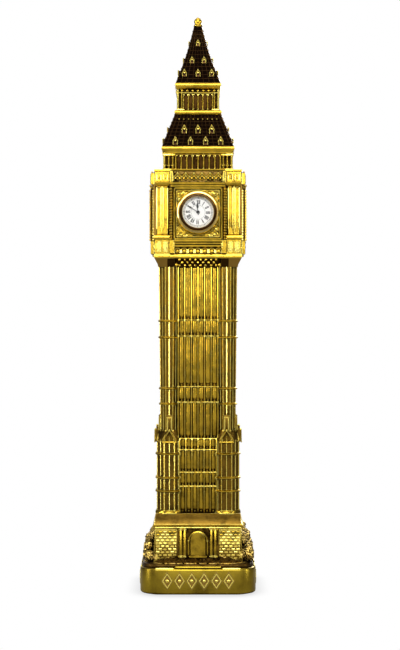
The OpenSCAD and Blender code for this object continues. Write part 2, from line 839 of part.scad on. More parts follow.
module movement_plate() {
    color(steel) at_dial() {
        difference() {
            plate_outline(plate_back, rim_z);
            block(-6.4, 6.4, -7.4, 7.4, plate_front, 0);
            at_battery() disc(plate_back - 1, battery_z1 + 0.05, battery_r + 0.1);
            for (p = bridge_screw_xy) translate([p.x, p.y, 0]) disc(plate_back - 1, plate_back + 1, 0.35);
        }
        disc(plate_front - 0.1, -0.3, post_r);
        at_minute_wheel() disc(plate_front - 0.1, train_z[3], post_r);
    }
}

module movement_bridge() {
    color([0.25, 0.45, 0.3]) at_dial() difference() {
        plate_outline(bridge_back, plate_back);
        at_battery() disc(bridge_back - 1, plate_back + 1, battery_r + 0.1);
        block(-coil_l / 2 - 0.3, coil_l / 2 + 0.3, coil_y - coil_r - 0.2, coil_y + coil_r + 0.2,
            bridge_back - 1, plate_back + 1);
        block(can_x - can_r - 0.1, can_x + can_r + 0.1, can_y - 0.2, can_y + can_l + 0.2,
            bridge_back - 1, plate_back + 1);
        translate([stem_x - 0.2, 0, stem_z]) rotate([0, 90, 0]) cylinder(r = stem_r + seat, h = case_r);
        block(lever_x - 0.3, lever_x + lever_t + crown_pull + 0.3, -lever_w / 2 - 0.15, lever_w / 2 + 0.15,
            bridge_back - 1, plate_back + 1);
        for (p = bridge_screw_xy) translate([p.x, p.y, 0]) disc(bridge_back - 1, plate_back + 1, 0.4);
    }
}

module bridge_screws() {
    color(steel) at_dial() for (p = bridge_screw_xy) translate([p.x, p.y, 0]) {
        disc(bridge_back - 0.35, bridge_back, 0.7);
        disc(bridge_back - 0.1, plate_back + 0.8, 0.3);
    }
}

module drive_coil() {
    flange_t = 0.8;
    color([0.72, 0.4, 0.18]) at_dial() translate([0, coil_y, mid_z]) rotate([0, 90, 0]) {
        cylinder(r = coil_r - 0.1, h = coil_l - 2 * flange_t, center = true);
        for (s = [-1, 1]) translate([0, 0, s * (coil_l - flange_t) / 2])
            cube([1.7, 2 * coil_r, flange_t + e], center = true);
    }
}

module quartz_can() {
    color(steel) at_dial() translate([can_x, can_y, mid_z]) rotate([-90, 0, 0])
        cylinder(r = can_r, h = can_l);
}

module battery() {
    color(steel) at_dial() at_battery() {
        disc(battery_z0, battery_z1 - 0.5, battery_r);
        disc(battery_z1 - 0.5 - e, battery_z1, battery_r - 0.6);
    }
}

module battery_strap() {
    color(bright_brass) at_dial() {
        block(-7, battery_xy.x + 2, battery_xy.y - 0.9, battery_xy.y + 0.9, battery_z0 - 0.25, battery_z0);
        block(-7, -5.9, battery_xy.y - 0.9, battery_xy.y + 0.9, battery_z0 - 0.25, bridge_back);
    }
}

// A flat gear with straight-sided teeth; a tooth points along +x, or a gap if gap is set
module gear(n, m, gap = false) {
    step = 360 / n;
    r = n * m / 2;
    tip = r + 0.9 * m;
    root = r - 1.2 * m;
    turn = gap ? step / 2 : 0;
    polygon([
        for (i = [0 : n - 1], p = [[-0.27, root], [-0.12, tip], [0.12, tip], [0.27, root]])
            let (a = (i + p.x) * step + turn) p.y * [cos(a), sin(a)]
    ]);
}

module layer(z0, z1) {
    translate([0, 0, z0]) linear_extrude(z1 - z0) children();
}

module cannon_pinion() {
    color(bright_brass) at_dial() difference() {
        union() {
            rotate([0, 0, gear_dir]) layer(train_z[0], train_z[1]) gear(cannon_n, module_1);
            disc(train_z[0], 1.25, cannon_r);
        }
        disc(train_z[0] - 1, -0.2, post_r + run);
    }
}

module minute_wheel() {
    color(bright_brass) at_dial() at_minute_wheel() rotate([0, 0, gear_dir + 180]) difference() {
        union() {
            layer(train_z[0], train_z[1]) gear(minute_n, module_1, gap = true);
            layer(train_z[1] - e, train_z[3] - e) gear(pinion_n, module_2);
        }
        disc(-3, 1, post_r + run);
    }
}

module hour_wheel() {
    color(bright_brass) at_dial() rotate([0, 0, gear_dir]) difference() {
        union() {
            layer(train_z[2], train_z[3]) gear(hour_n, module_2, gap = true);
            disc(train_z[2], 0.6, hour_tube_r);
        }
        disc(-3, 1, cannon_r + run);
    }
}

// A spade hand: a stem, a leaf near its end and a tip, pointing up at twelve
module hand(length, stem_w, leaf_at, leaf_w, boss, t, hole) {
    linear_extrude(t) difference() {
        union() {
            circle(boss);
            translate([-stem_w / 2, -boss * 1.6]) square([stem_w, boss * 1.6 + leaf_at]);
            polygon([
                [-stem_w / 2, leaf_at - leaf_w], [stem_w / 2, leaf_at - leaf_w], [leaf_w / 2, leaf_at],
                [0, length], [-leaf_w / 2, leaf_at]
            ]);
        }
        circle(hole);
    }
}

module minute_hand() {
    color([0.03, 0.03, 0.03]) at_dial() translate([0, 0, 0.85]) rotate([0, 0, -minute_angle])
        hand(opening_r * 0.84, 0.42, opening_r * 0.66, 0.8, 0.85, 0.12, cannon_r);
}

module hour_hand() {
    color([0.03, 0.03, 0.03]) at_dial() translate([0, 0, 0.4]) rotate([0, 0, -hour_angle])
        hand(opening_r * 0.58, 0.55, opening_r * 0.42, 1.3, 1.1, 0.12, hour_tube_r);
}

module setting_stem() {
    color(steel) at_dial() translate([stem_x, 0, stem_z]) rotate([0, 90, 0]) difference() {
        cylinder(r = stem_r, h = crown_x - stem_x + 0.8);
        translate([0, 0, lever_x - stem_x - seat]) ring(0, lever_t + 2 * seat, groove_r, stem_r + 1);
    }
}

// The fork that sits in the stem's groove and clicks in and out with it
module setting_lever() {
    color(steel) at_dial() difference() {
        block(lever_x, lever_x + lever_t, -lever_w / 2, lever_w / 2, stem_z - 0.8, stem_z + 0.8);
        block(lever_x - 1, lever_x + lever_t + 1, -groove_r - seat, groove_r + seat, stem_z - 1, stem_z);
        translate([lever_x - 1, 0, stem_z]) rotate([0, 90, 0]) cylinder(r = groove_r + seat, h = lever_t + 2);
    }
}

module setting_crown() {
    color(bright_brass) at_dial() translate([crown_x, 0, stem_z]) rotate([0, 90, 0]) difference() {
        cylinder(r = crown_r, h = crown_l);
        translate([0, 0, -1]) cylinder(r = stem_r + 0.01, h = 1 + 0.9);
        for (a = [0 : 22.5 : 359]) rotate([0, 0, a]) translate([crown_r, 0, 0]) disc(-1, crown_l + 1, 0.13);
    }
}

base_felt();
base_plate();
base_screws();
plinth();
podium();
shrubs();
lower_shaft();
upper_shaft();
clock_stage();
belfry();
lower_roof();
lantern();
spire();
finial();
tie_rod();
rod_washer();
rod_nut();
insert_case();
insert_back();
insert_bezel();
insert_lens();
insert_dial();
grip_ring();
spacer_ring();
movement_plate();
movement_bridge();
bridge_screws();
drive_coil();
quartz_can();
battery();
battery_strap();
cannon_pinion();
minute_hand();
hour_wheel();
hour_hand();
minute_wheel();
setting_stem();
setting_lever();
setting_crown();
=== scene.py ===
"""Looks of the miniature clock tower: gilt castings, dark roofs and a small quartz clock.

Shapes are built in millimetres in the CAD frame and scaled to metres as each piece is finished.
A face is built once as the front, which looks along -Y, and then copied round the four sides.
"""
import random
from math import atan2, ceil, cos, hypot, pi, radians, sin, tau
import bmesh
import bpy
from mathutils import Matrix, Vector, noise


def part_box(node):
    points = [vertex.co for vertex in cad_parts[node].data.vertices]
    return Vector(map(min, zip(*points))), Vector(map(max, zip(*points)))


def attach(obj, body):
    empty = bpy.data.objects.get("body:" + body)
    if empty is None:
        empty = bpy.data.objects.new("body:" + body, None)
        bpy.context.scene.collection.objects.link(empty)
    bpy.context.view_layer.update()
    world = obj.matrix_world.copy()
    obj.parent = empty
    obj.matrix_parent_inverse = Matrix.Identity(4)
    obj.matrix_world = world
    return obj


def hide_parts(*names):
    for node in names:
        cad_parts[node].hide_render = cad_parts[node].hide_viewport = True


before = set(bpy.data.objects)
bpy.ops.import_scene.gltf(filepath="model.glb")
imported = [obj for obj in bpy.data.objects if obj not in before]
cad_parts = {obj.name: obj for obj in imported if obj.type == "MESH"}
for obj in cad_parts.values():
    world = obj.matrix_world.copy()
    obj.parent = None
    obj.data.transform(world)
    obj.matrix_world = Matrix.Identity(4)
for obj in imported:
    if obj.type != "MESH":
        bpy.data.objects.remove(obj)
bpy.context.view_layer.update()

MM = 0.001
noise.seed_set(1)
TOWER, INSERT = "tower", "clock_insert"


def extent(node, axis):
    """A CAD node's lower and upper limit along an axis, in millimetres."""
    low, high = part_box(node)
    return low[axis] / MM, high[axis] / MM


def level(node, top=False):
    """Height of a CAD node's foot, or of its top."""
    return extent(node, 2)[1 if top else 0]


def radius_of(node):
    left, right = extent(node, 0)
    return (right - left) / 2


# Levels of the castings' joints, from the floor up
Z_PLINTH = level("plinth")
Z_PODIUM = level("podium")
Z_LOWER = level("lower_shaft")
Z_UPPER = level("upper_shaft")
Z_STAGE = level("clock_stage")
Z_BELFRY = level("belfry")
Z_ROOF = level("lower_roof")
Z_LANTERN = level("lantern")
Z_SPIRE = level("spire")
Z_FINIAL = level("spire", top=True)
Z_TIP = level("finial", top=True)

# Half widths of the castings
PLINTH_A = 37.5
BANK_A = extent("podium", 0)[1]
PODIUM_A = 28.5
LOWER_A = 27.0
SHAFT_HEAD_A = 25.3
PIER_A = 28.4
PANEL_OUT = 32.0
BELFRY_A = 22.9
ROOF_FOOT_A = 23.0
ROOF_HEAD_A = 15.0
LANTERN_A = 14.0
SPIRE_A = 14.3
SPIRE_TOP_A = 2.3

# The clock: its bezel's box is centred on the dial's axis
DIAL_X = sum(extent("insert_bezel", 0)) / 2
DIAL_Z = sum(extent("insert_bezel", 2)) / 2
DIAL_FACE = -extent("insert_dial", 1)[0]
BEZEL_R = radius_of("insert_bezel")
BEZEL_FRONT, BEZEL_BACK = (-y for y in extent("insert_bezel", 1))
LENS_R = radius_of("insert_lens")
DIAL_R = LENS_R - 0.35
BORE_R = radius_of("insert_case") + 0.4
HOLE_BOX = BORE_R + 0.1


# ---------- shapes ----------

def edges_of(verts):
    return list({edge for vert in verts for edge in vert.link_edges})


def round_edges(bm, edges, width, segments=1):
    bmesh.ops.bevel(bm, geom=edges, offset=width, offset_type="OFFSET", segments=segments, profile=0.5,
                    affect="EDGES", clamp_overlap=True, material=-1)


def block(bm, u, z, out, round_off=0.2, segments=1):
    """A box on the front face: u and z are its sides, out runs from its back to its face."""
    size = (u[1] - u[0], out[1] - out[0], z[1] - z[0])
    middle = ((u[0] + u[1]) / 2, -(out[0] + out[1]) / 2, (z[0] + z[1]) / 2)
    matrix = Matrix.Translation(middle) @ Matrix.Diagonal((*size, 1))
    verts = bmesh.ops.create_cube(bm, size=1, matrix=matrix)["verts"]
    if round_off:
        round_edges(bm, edges_of(verts), min(round_off, min(size) * 0.45), segments)


def prism(bm, outline, out, round_off=0.0):
    """A flat outline of (u, z) points, given the depth out from back to face."""
    face = bm.faces.new([bm.verts.new((u, -out[0], z)) for u, z in outline])
    top = moved_up(bmesh.ops.extrude_face_region(bm, geom=[face]), bmesh.types.BMVert)
    bmesh.ops.translate(bm, verts=top, vec=(0, out[0] - out[1], 0))
    verts = top + list(face.verts)
    if round_off:
        round_edges(bm, edges_of(verts), round_off)


def moved_up(grown, kind):
    """The vertices or faces that an extrusion has made."""
    return [item for item in grown["geom"] if isinstance(item, kind)]


def stack(bm, levels, sides=4, middle=(0, 0)):
    """A pile of straight-sided mouldings: levels holds (half width, height) from the foot up."""
    rings = []
    for half, height in levels:
        place = Matrix.Translation((*middle, height)) @ Matrix.Rotation(pi / sides, 4, "Z")
        ring = bmesh.ops.create_circle(bm, segments=sides, radius=half / cos(pi / sides), matrix=place)
        rings.append(ring["verts"])
    for low, high in zip(rings, rings[1:]):
        for i in range(sides):
            bm.faces.new((low[i - 1], low[i], high[i], high[i - 1]))
    bm.faces.new(rings[0])
    bm.faces.new(rings[-1])


def corner_stack(bm, centre, levels):
    """An eight-sided pile on the corner at the front left."""
    stack(bm, levels, sides=8, middle=(-centre, -centre))


def rod(bm, length, r, sides, rings):
    """An upright rod with round ends, about the origin."""
    verts = bmesh.ops.create_uvsphere(bm, u_segments=sides, v_segments=rings, radius=r)["verts"]
    reach = length / 2 - r
    upper = [v for v in verts if v.co.z > 0.01 * r]
    lower = [v for v in verts if v.co.z <= 0.01 * r]
    bmesh.ops.translate(bm, verts=upper, vec=(0, 0, reach))
    bmesh.ops.translate(bm, verts=lower, vec=(0, 0, -reach))
    return verts


def capsule(bm, u, z, out, r, sides=8, rings=6, flat=1.0):
    """An upright rod between two heights; flat squeezes it front to back."""
    verts = rod(bm, z[1] - z[0], r, sides, rings)
    bmesh.ops.scale(bm, verts=verts, vec=(1, flat, 1))
    bmesh.ops.translate(bm, verts=verts, vec=(u, -out, sum(z) / 2))


def bar(bm, u, z, out, r):
    """A level rod with round ends, from u[0] to u[1]."""
    verts = rod(bm, u[1] - u[0], r, 8, 6)
    bmesh.ops.rotate(bm, verts=verts, cent=(0, 0, 0), matrix=Matrix.Rotation(pi / 2, 3, "Y"))
    bmesh.ops.translate(bm, verts=verts, vec=(sum(u) / 2, -out, z))


def strut(bm, a, b, r, sides=6):
    """A straight round rib from a to b."""
    a, b = Vector(a), Vector(b)
    along = b - a
    place = Matrix.Translation((a + b) / 2) @ along.to_track_quat("Z", "Y").to_matrix().to_4x4()
    bmesh.ops.create_cone(bm, cap_ends=True, segments=sides, radius1=r, radius2=r, depth=along.length,
                          matrix=place)


def twin_blocks(bm, u, z, out, round_off=0.3):
    """A block and its mirror image on the other side of the face's middle."""
    for s in (-1, 1):
        block(bm, sorted((s * u[0], s * u[1])), z, out, round_off)


def bead(bm, u, z, out, r, tall=1.0, flat=1.0, detail=1):
    """A boss, round or stretched."""
    place = Matrix.Translation((u, -out, z)) @ Matrix.Diagonal((1, flat, tall, 1))
    bmesh.ops.create_icosphere(bm, subdivisions=detail, radius=r, matrix=place)


def arc_tube(bm, u, z, out, r, tube, start=0.0, sweep=pi, steps=8, sides=6):
    """A round moulding of radius r bent about (u, z), from the angle start through sweep."""
    place = (Matrix.Translation((u, -out, z)) @ Matrix.Rotation(-start, 4, "Y")
             @ Matrix.Translation((r, 0, 0)))
    ring = bmesh.ops.create_circle(bm, cap_ends=False, segments=sides, radius=tube, matrix=place)
    geom = ring["verts"] + edges_of(ring["verts"])
    whole = abs(abs(sweep) - tau) < 0.001
    bmesh.ops.spin(bm, geom=geom, cent=(u, -out, z), axis=(0, -1, 0), angle=sweep, steps=steps,
                   use_merge=whole, use_duplicate=False)


def round_arch(bm, z, width, out, tube):
    """An arched moulding: two legs and a half-round head, between the heights in z."""
    r = width / 2
    spring = z[1] - r
    for s in (-1, 1):
        capsule(bm, s * r, (z[0], spring + tube), out, tube, rings=4)
    arc_tube(bm, 0, spring, out, r, tube, sides=8)


def arch_outline(z, width, steps=8):
    """The outline of a round-headed panel."""
    r = width / 2
    turns = [pi * i / steps for i in range(steps + 1)]
    return [(-r, z[0]), (r, z[0])] + [(r * cos(a), z[1] - r + r * sin(a)) for a in turns]


def ring_disc(bm, section, steps=64):
    """A turned shape about the dial's axis: section holds (radius, out) points of a closed line."""
    points = [bm.verts.new((DIAL_X + r, -out, DIAL_Z)) for r, out in section]
    edges = [bm.edges.new(pair) for pair in zip(points, points[1:] + points[:1])]
    bmesh.ops.spin(bm, geom=points + edges, cent=(DIAL_X, 0, DIAL_Z), axis=(0, -1, 0), angle=tau,
                   steps=steps, use_merge=True, use_duplicate=False)


def flat_ring(bm, radii, out, steps=64):
    """A flat washer about the dial's axis, from radii[0] to radii[1] and from out[0] to out[1]."""
    (inner, outer), (back, face) = radii, out
    ring_disc(bm, [(inner, back), (outer, back), (outer, face), (inner, face)], steps)


def spread(count, pitch):
    """Places for a centred row."""
    return [(i - (count - 1) / 2) * pitch for i in range(count)]


def around(bm, copies=4):
    """Copies all that has been built round the tower's axis."""
    geom = bm.verts[:] + bm.edges[:] + bm.faces[:]
    bmesh.ops.spin(bm, geom=geom, cent=(0, 0, 0), axis=(0, 0, 1), angle=tau * (copies - 1) / copies,
                   steps=copies - 1, use_duplicate=True, use_merge=False)


def roughen(bm, amount, grain):
    """Moves the surface a little, as a hand-finished mould leaves it."""
    for vert in bm.verts:
        vert.co += noise.noise_vector(vert.co / grain) * amount


def merged(bm, other):
    """Adds another shape's faces to this one."""
    mesh = bpy.data.meshes.new("joined")
    other.to_mesh(mesh)
    other.free()
    bm.from_mesh(mesh)
    bpy.data.meshes.remove(mesh)


def with_painted_shade(bm, build, *args, **settings):
    """Adds a shape whose faces take the piece's second, darker finish: painted shade on what is set back,
    with its patina, and on the bezel a painted dark reflection.
    """
    shape = bmesh.new()
    build(shape, *args, **settings)
    for face in shape.faces:
        face.material_index = 1
    merged(bm, shape)


def finish(name, bm, material, body=TOWER, replaces=(), smooth=40.0, recess=None):
    """Makes a piece of what has been built, in metres. recess is the darker finish, with its painted shade,
    of the shapes that the shading helper added.
    """
    bmesh.ops.recalc_face_normals(bm, faces=bm.faces)
    bmesh.ops.scale(bm, verts=bm.verts, vec=(MM, MM, MM))
    mesh = bpy.data.meshes.new(name)
    bm.to_mesh(mesh)
    bm.free()
    mesh.materials.append(material)
    if recess:
        mesh.materials.append(recess)
    mesh.shade_smooth()
    mesh.set_sharp_from_angle(angle=radians(smooth))
    piece = bpy.data.objects.new(name, mesh)
    bpy.context.scene.collection.objects.link(piece)
    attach(piece, body)
    if replaces:
        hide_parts(*replaces)
    return piece


# ---------- materials ----------

def new_group(name, inputs, outputs):
    """An empty node group with named sockets; returns it with its input and output nodes."""
    group = bpy.data.node_groups.new(name, "ShaderNodeTree")
    for label, kind, value in inputs:
        socket = group.interface.new_socket(label, in_out="INPUT", socket_type=kind)
        socket.default_value = value
    for label, kind in outputs:
        group.interface.new_socket(label, in_out="OUTPUT", socket_type=kind)
    return group, group.nodes.new("NodeGroupInput"), group.nodes.new("NodeGroupOutput")


def connect(tree, node, values):
    """Fills a node's inputs: a socket is linked, and anything else is set as a plain value."""
    for key, value in values.items():
        if isinstance(value, bpy.types.NodeSocket):
            tree.links.new(value, node.inputs[key])
        else:
            node.inputs[key].default_value = value


def add(tree, kind, values=None, **settings):
    """Adds a node, sets its properties and fills its inputs."""
    node = tree.nodes.new(kind)
    for key, value in settings.items():
        setattr(node, key, value)
    connect(tree, node, values or {})
    return node


def math_node(tree, operation, a, b=0.0, clamp=False):
    return add(tree, "ShaderNodeMath", {0: a, 1: b}, operation=operation, use_clamp=clamp).outputs[0]


def remap(tree, value, low, high, to_low=0.0, to_high=1.0):
    """Eases a value from one range to another, and holds it at the ends."""
    ends = {"Value": value, "From Min": low, "From Max": high, "To Min": to_low, "To Max": to_high}
    node = add(tree, "ShaderNodeMapRange", ends, clamp=True, interpolation_type="SMOOTHSTEP")
    return node.outputs["Result"]


def mix_colour(tree, factor, a, b):
    return add(tree, "ShaderNodeMix", {0: factor, 6: a, 7: b}, data_type="RGBA").outputs[2]


def object_space(tree):
    return add(tree, "ShaderNodeTexCoord").outputs["Object"]


def cloudy(tree, scale, detail, **values):
    """Noise from 0 to 1 that keeps to the object."""
    values.update(Vector=object_space(tree), Scale=scale, Detail=detail)
    return add(tree, "ShaderNodeTexNoise", values).outputs["Fac"]


FLOAT, COLOUR = "NodeSocketFloat", "NodeSocketColor"


def recess_group():
    """Where dark patina and painted shade gather, and where edges are rubbed and painted with a highlight:
    Recess is 1 in a crevice and Ridge is 1 on an edge.
    """
    group, inside, out = new_group(
        "recess_and_ridge",
        [("Reach", FLOAT, 0.003), ("Edge Reach", FLOAT, 0.0006)],
        [("Recess", FLOAT), ("Ridge", FLOAT)])
    for result, reach, samples in (("Recess", "Reach", 12), ("Ridge", "Edge Reach", 8)):
        openness = add(group, "ShaderNodeAmbientOcclusion", {"Distance": inside.outputs[reach]},
                       samples=samples, inside=result == "Ridge").outputs["AO"]
        group.links.new(math_node(group, "SUBTRACT", 1.0, openness), out.inputs[result])
    return group


def patina_group():
    """Gilt colour from a dark recess, with patina and painted shade, through gold to a bright ridge, rubbed
    and with a painted highlight, with cloudy toning.

    The colour is darker towards the foot: painted shade, as the light falls from above.
    """
    group, inside, out = new_group(
        "gilt_patina",
        [("Recess", FLOAT, 0.0), ("Ridge", FLOAT, 0.0), ("Dark", COLOUR, (0.05, 0.03, 0.01, 1)),
         ("Gold", COLOUR, (0.7, 0.5, 0.12, 1)), ("Bright", COLOUR, (0.95, 0.78, 0.3, 1)),
         ("Depth", FLOAT, 1.0), ("Cloud Scale", FLOAT, 160.0)],
        [("Color", COLOUR), ("Grime And Shade", FLOAT)])
    given = inside.outputs
    cloud = cloudy(group, given["Cloud Scale"], 5.0, Roughness=0.6)
    speck = cloudy(group, 1400.0, 3.0)
    height = add(group, "ShaderNodeSeparateXYZ", {0: object_space(group)}).outputs["Z"]

    def total(a, b):
        return math_node(group, "ADD", a, b)

    drift = total(remap(group, cloud, 0.35, 0.7, -0.12, 0.2), remap(group, speck, 0.4, 0.7, -0.06, 0.08))
    # drift is random toning; the part that grows towards the foot is painted shade, as the light falls from
    # above.
    drift_and_foot_shade = total(drift, remap(group, height, 0.15, 0.03, 0.0, 0.13))
    # Darker in recesses and between parts: patina in the hollows, with painted shade there.
    hollow = remap(group, total(given["Recess"], drift_and_foot_shade), 0.22, 0.62)
    grime_and_shade = math_node(group, "MULTIPLY", hollow, given["Depth"], clamp=True)
    # Brighter on edges: rubbed wear, with a painted highlight.
    shine = remap(group, total(given["Ridge"], drift), 0.26, 0.66)
    # The gold also turns darker towards the foot: painted shade.
    tone_and_foot_shade = total(remap(group, cloud, 0.35, 0.7, 0.0, 0.42), remap(group, height, 0.24, 0.04, 0.0, 0.3))
    toned_and_foot_shaded = mix_colour(group, tone_and_foot_shade, given["Gold"], given["Dark"])
    rubbed_and_highlit = mix_colour(group, shine, toned_and_foot_shaded, given["Bright"])
    group.links.new(mix_colour(group, grime_and_shade, rubbed_and_highlit, given["Dark"]), out.inputs["Color"])
    group.links.new(grime_and_shade, out.inputs["Grime And Shade"])
    return group


def grain_group():
    """The fine unevenness of a casting, for bump: a coarse wave with pits."""
    group, inside, out = new_group("cast_grain", [("Scale", FLOAT, 900.0), ("Pits", FLOAT, 0.4)],
                                   [("Height", FLOAT)])
    scale = inside.outputs["Scale"]
    wave = cloudy(group, scale, 4.0, Roughness=0.55)
    spots = {"Vector": object_space(group), "Scale": math_node(group, "MULTIPLY", scale, 1.7)}
    cells = add(group, "ShaderNodeTexVoronoi", spots).outputs["Distance"]
    pits = math_node(group, "MULTIPLY", remap(group, cells, 0.0, 0.35), inside.outputs["Pits"])
    group.links.new(math_node(group, "ADD", wave, pits), out.inputs["Height"])
    return group


RECESS, PATINA, GRAIN = recess_group(), patina_group(), grain_group()


def new_material(name, **values):
    """A material with a Principled shader whose plain values are set on its own sockets."""
    material = bpy.data.materials.new(name)
    material.use_nodes = True
    shader = material.node_tree.nodes["Principled BSDF"]
    for key, value in values.items():
        shader.inputs[key.replace("_", " ")].default_value = value
    return material, material.node_tree, shader


def use(tree, group, **values):
    """Adds a node group and fills its inputs."""
    node = add(tree, "ShaderNodeGroup", node_tree=group)
    connect(tree, node, {key.replace("_", " "): value for key, value in values.items()})
    return node.outputs


def bump(tree, height, strength, distance):
    values = {"Height": height, "Strength": strength, "Distance": distance}
    return add(tree, "ShaderNodeBump", values).outputs["Normal"]


def gilt(name, dark, gold, bright, rough=(0.3, 0.6), depth=1.0, reach=0.003, relief=0.15, cloud=160.0):
    """Gilt metal with patina and painted shade in its recesses: rough is its roughness where clean and where
    darkened.
    """
    material, tree, shader = new_material(name, Metallic=1.0)
    where = use(tree, RECESS, Reach=reach, Edge_Reach=0.0006)
    paint = use(tree, PATINA, Recess=where["Recess"], Ridge=where["Ridge"], Dark=(*dark, 1),
                Gold=(*gold, 1), Bright=(*bright, 1), Depth=depth, Cloud_Scale=cloud)
    connect(tree, shader, {
        "Base Color": paint["Color"],
        "Roughness": remap(tree, paint["Grime And Shade"], 0.0, 1.0, *rough),
        "Normal": bump(tree, use(tree, GRAIN, Scale=900.0)["Height"], relief, 0.0003)})
    return material


ANTIQUE = gilt("antique_gold", (0.030, 0.013, 0.0015), (0.76, 0.50, 0.045), (1.0, 0.82, 0.18),
               rough=(0.24, 0.6), reach=0.0019)
# A darker copy of the gold on set-back surfaces: their patina, with painted shade.
SHADE_GOLD = gilt("gold_painted_shade", (0.014, 0.006, 0.0015), (0.20, 0.115, 0.015), (0.76, 0.56, 0.10),
            rough=(0.32, 0.7), reach=0.004, relief=0.3)
# A near-black copy of the gold in deep recesses and openings: painted shade, with their patina.
DEEP_SHADE = gilt("recess_painted_shade", (0.010, 0.004, 0.001), (0.042, 0.020, 0.004), (0.30, 0.18, 0.035),
            rough=(0.4, 0.75), relief=0.3)
LEAF = gilt("leaf_gold", (0.012, 0.005, 0.0015), (0.11, 0.060, 0.011), (0.80, 0.56, 0.14),
            rough=(0.35, 0.75), relief=0.5)
SATIN = gilt("satin_gold", (0.07, 0.04, 0.004), (0.54, 0.39, 0.035), (0.92, 0.76, 0.16),
             rough=(0.3, 0.5), depth=0.9, relief=0.1, cloud=45.0)
BRONZE = gilt("dark_bronze", (0.002, 0.001, 0.0008), (0.0065, 0.003, 0.0018), (0.06, 0.03, 0.010),
              rough=(0.2, 0.5), relief=0.2)


# ---------- base ----------

BAND = (5.0, 14.0)
LOZENGE_PITCH = 7.9


def rounded_tray(bm, half, z, corner, edge):
    """A square slab with turned corners and softened rims; bm has to be empty."""
    place = Matrix.Translation((0, 0, sum(z) / 2)) @ Matrix.Diagonal((2 * half, 2 * half, z[1] - z[0], 1))
    bmesh.ops.create_cube(bm, size=1, matrix=place)
    for level_ones, width, segments in ((False, corner, 10), (True, edge, 3)):
        edges = [e for e in bm.edges if (abs(e.verts[0].co.z - e.verts[1].co.z) < 0.01) == level_ones]
        bmesh.ops.bevel(bm, geom=edges, offset=width, offset_type="OFFSET", segments=segments,
                        profile=0.5, affect="EDGES", material=-1)


def lozenge(bm, u, wide, z, out):
    """A raised lozenge: a sunk field with a boss, inside a rounded frame."""
    middle, rise = sum(z) / 2, (z[1] - z[0]) / 2
    corners = [(-wide, 0), (0, -rise), (wide, 0), (0, rise)]
    with_painted_shade(bm, prism, [(u + x * 1.32, middle + y * 1.32) for x, y in corners], (out - 1, out + 0.16))
    for (x0, y0), (x1, y1) in zip(corners, corners[1:] + corners[:1]):
        strut(bm, (u + x0, -out, middle + y0), (u + x1, -out, middle + y1), 0.55, sides=8)
    for x, y in corners:
        bead(bm, u + x, middle + y, out, 0.55)
    bead(bm, u, middle, out + 0.1, 1.15, flat=0.4, detail=2)


def plinth():
    bm = bmesh.new()
    rounded_tray(bm, PLINTH_A, (Z_PLINTH, Z_PODIUM), 12.0, 1.3)
    roughen(bm, 0.12, 14.0)
    ornaments = bmesh.new()
    for u in spread(6, LOZENGE_PITCH):
        lozenge(ornaments, u, LOZENGE_PITCH * 0.37, BAND, PLINTH_A)
    # the kerb round the top stands a little higher along the middle of each side
    for low, high, lift in ((-27.5, -15.6, 0), (-15.0, 15.0, 0.9), (15.6, 27.5, 0)):
        bar(ornaments, (low, high), Z_PODIUM - 0.2 + lift, PLINTH_A - 1.0, 0.75)
    around(ornaments)
    merged(bm, ornaments)
    finish("plinth_casting", bm, SATIN, replaces=("plinth",), recess=DEEP_SHADE)


BRICK = (3.1, 1.85)
JOINT = 0.28
WALL_FOOT, WALL_HEAD = 23.0, 42.2
SILL = (42.4, 44.6)
DOOR_W = 13.6
DOOR = (24.6, 39.9)


def brick_panel(bm, u, z, out):
    """Running bond with every brick a little proud of the joints and a little out of true."""
    with_painted_shade(bm, block, u, z, (out - 1.5, out), 0)
    rows = int((z[1] - z[0]) / BRICK[1])
    for row in range(rows):
        left = u[0] - (BRICK[0] / 2 if row % 2 else 0)
        for col in range(ceil((u[1] - left) / BRICK[0])):
            a = max(u[0], left + col * BRICK[0]) + JOINT
            b = min(u[1], left + (col + 1) * BRICK[0]) - JOINT
            if b - a < 0.6:
                continue
            low = z[0] + row * BRICK[1]
            proud = 0.75 + 0.2 * sin(7.3 * row + 4.1 * col)
            block(bm, (a, b), (low + JOINT, low + BRICK[1] - JOINT), (out - 0.3, out + proud), 0.4, 2)


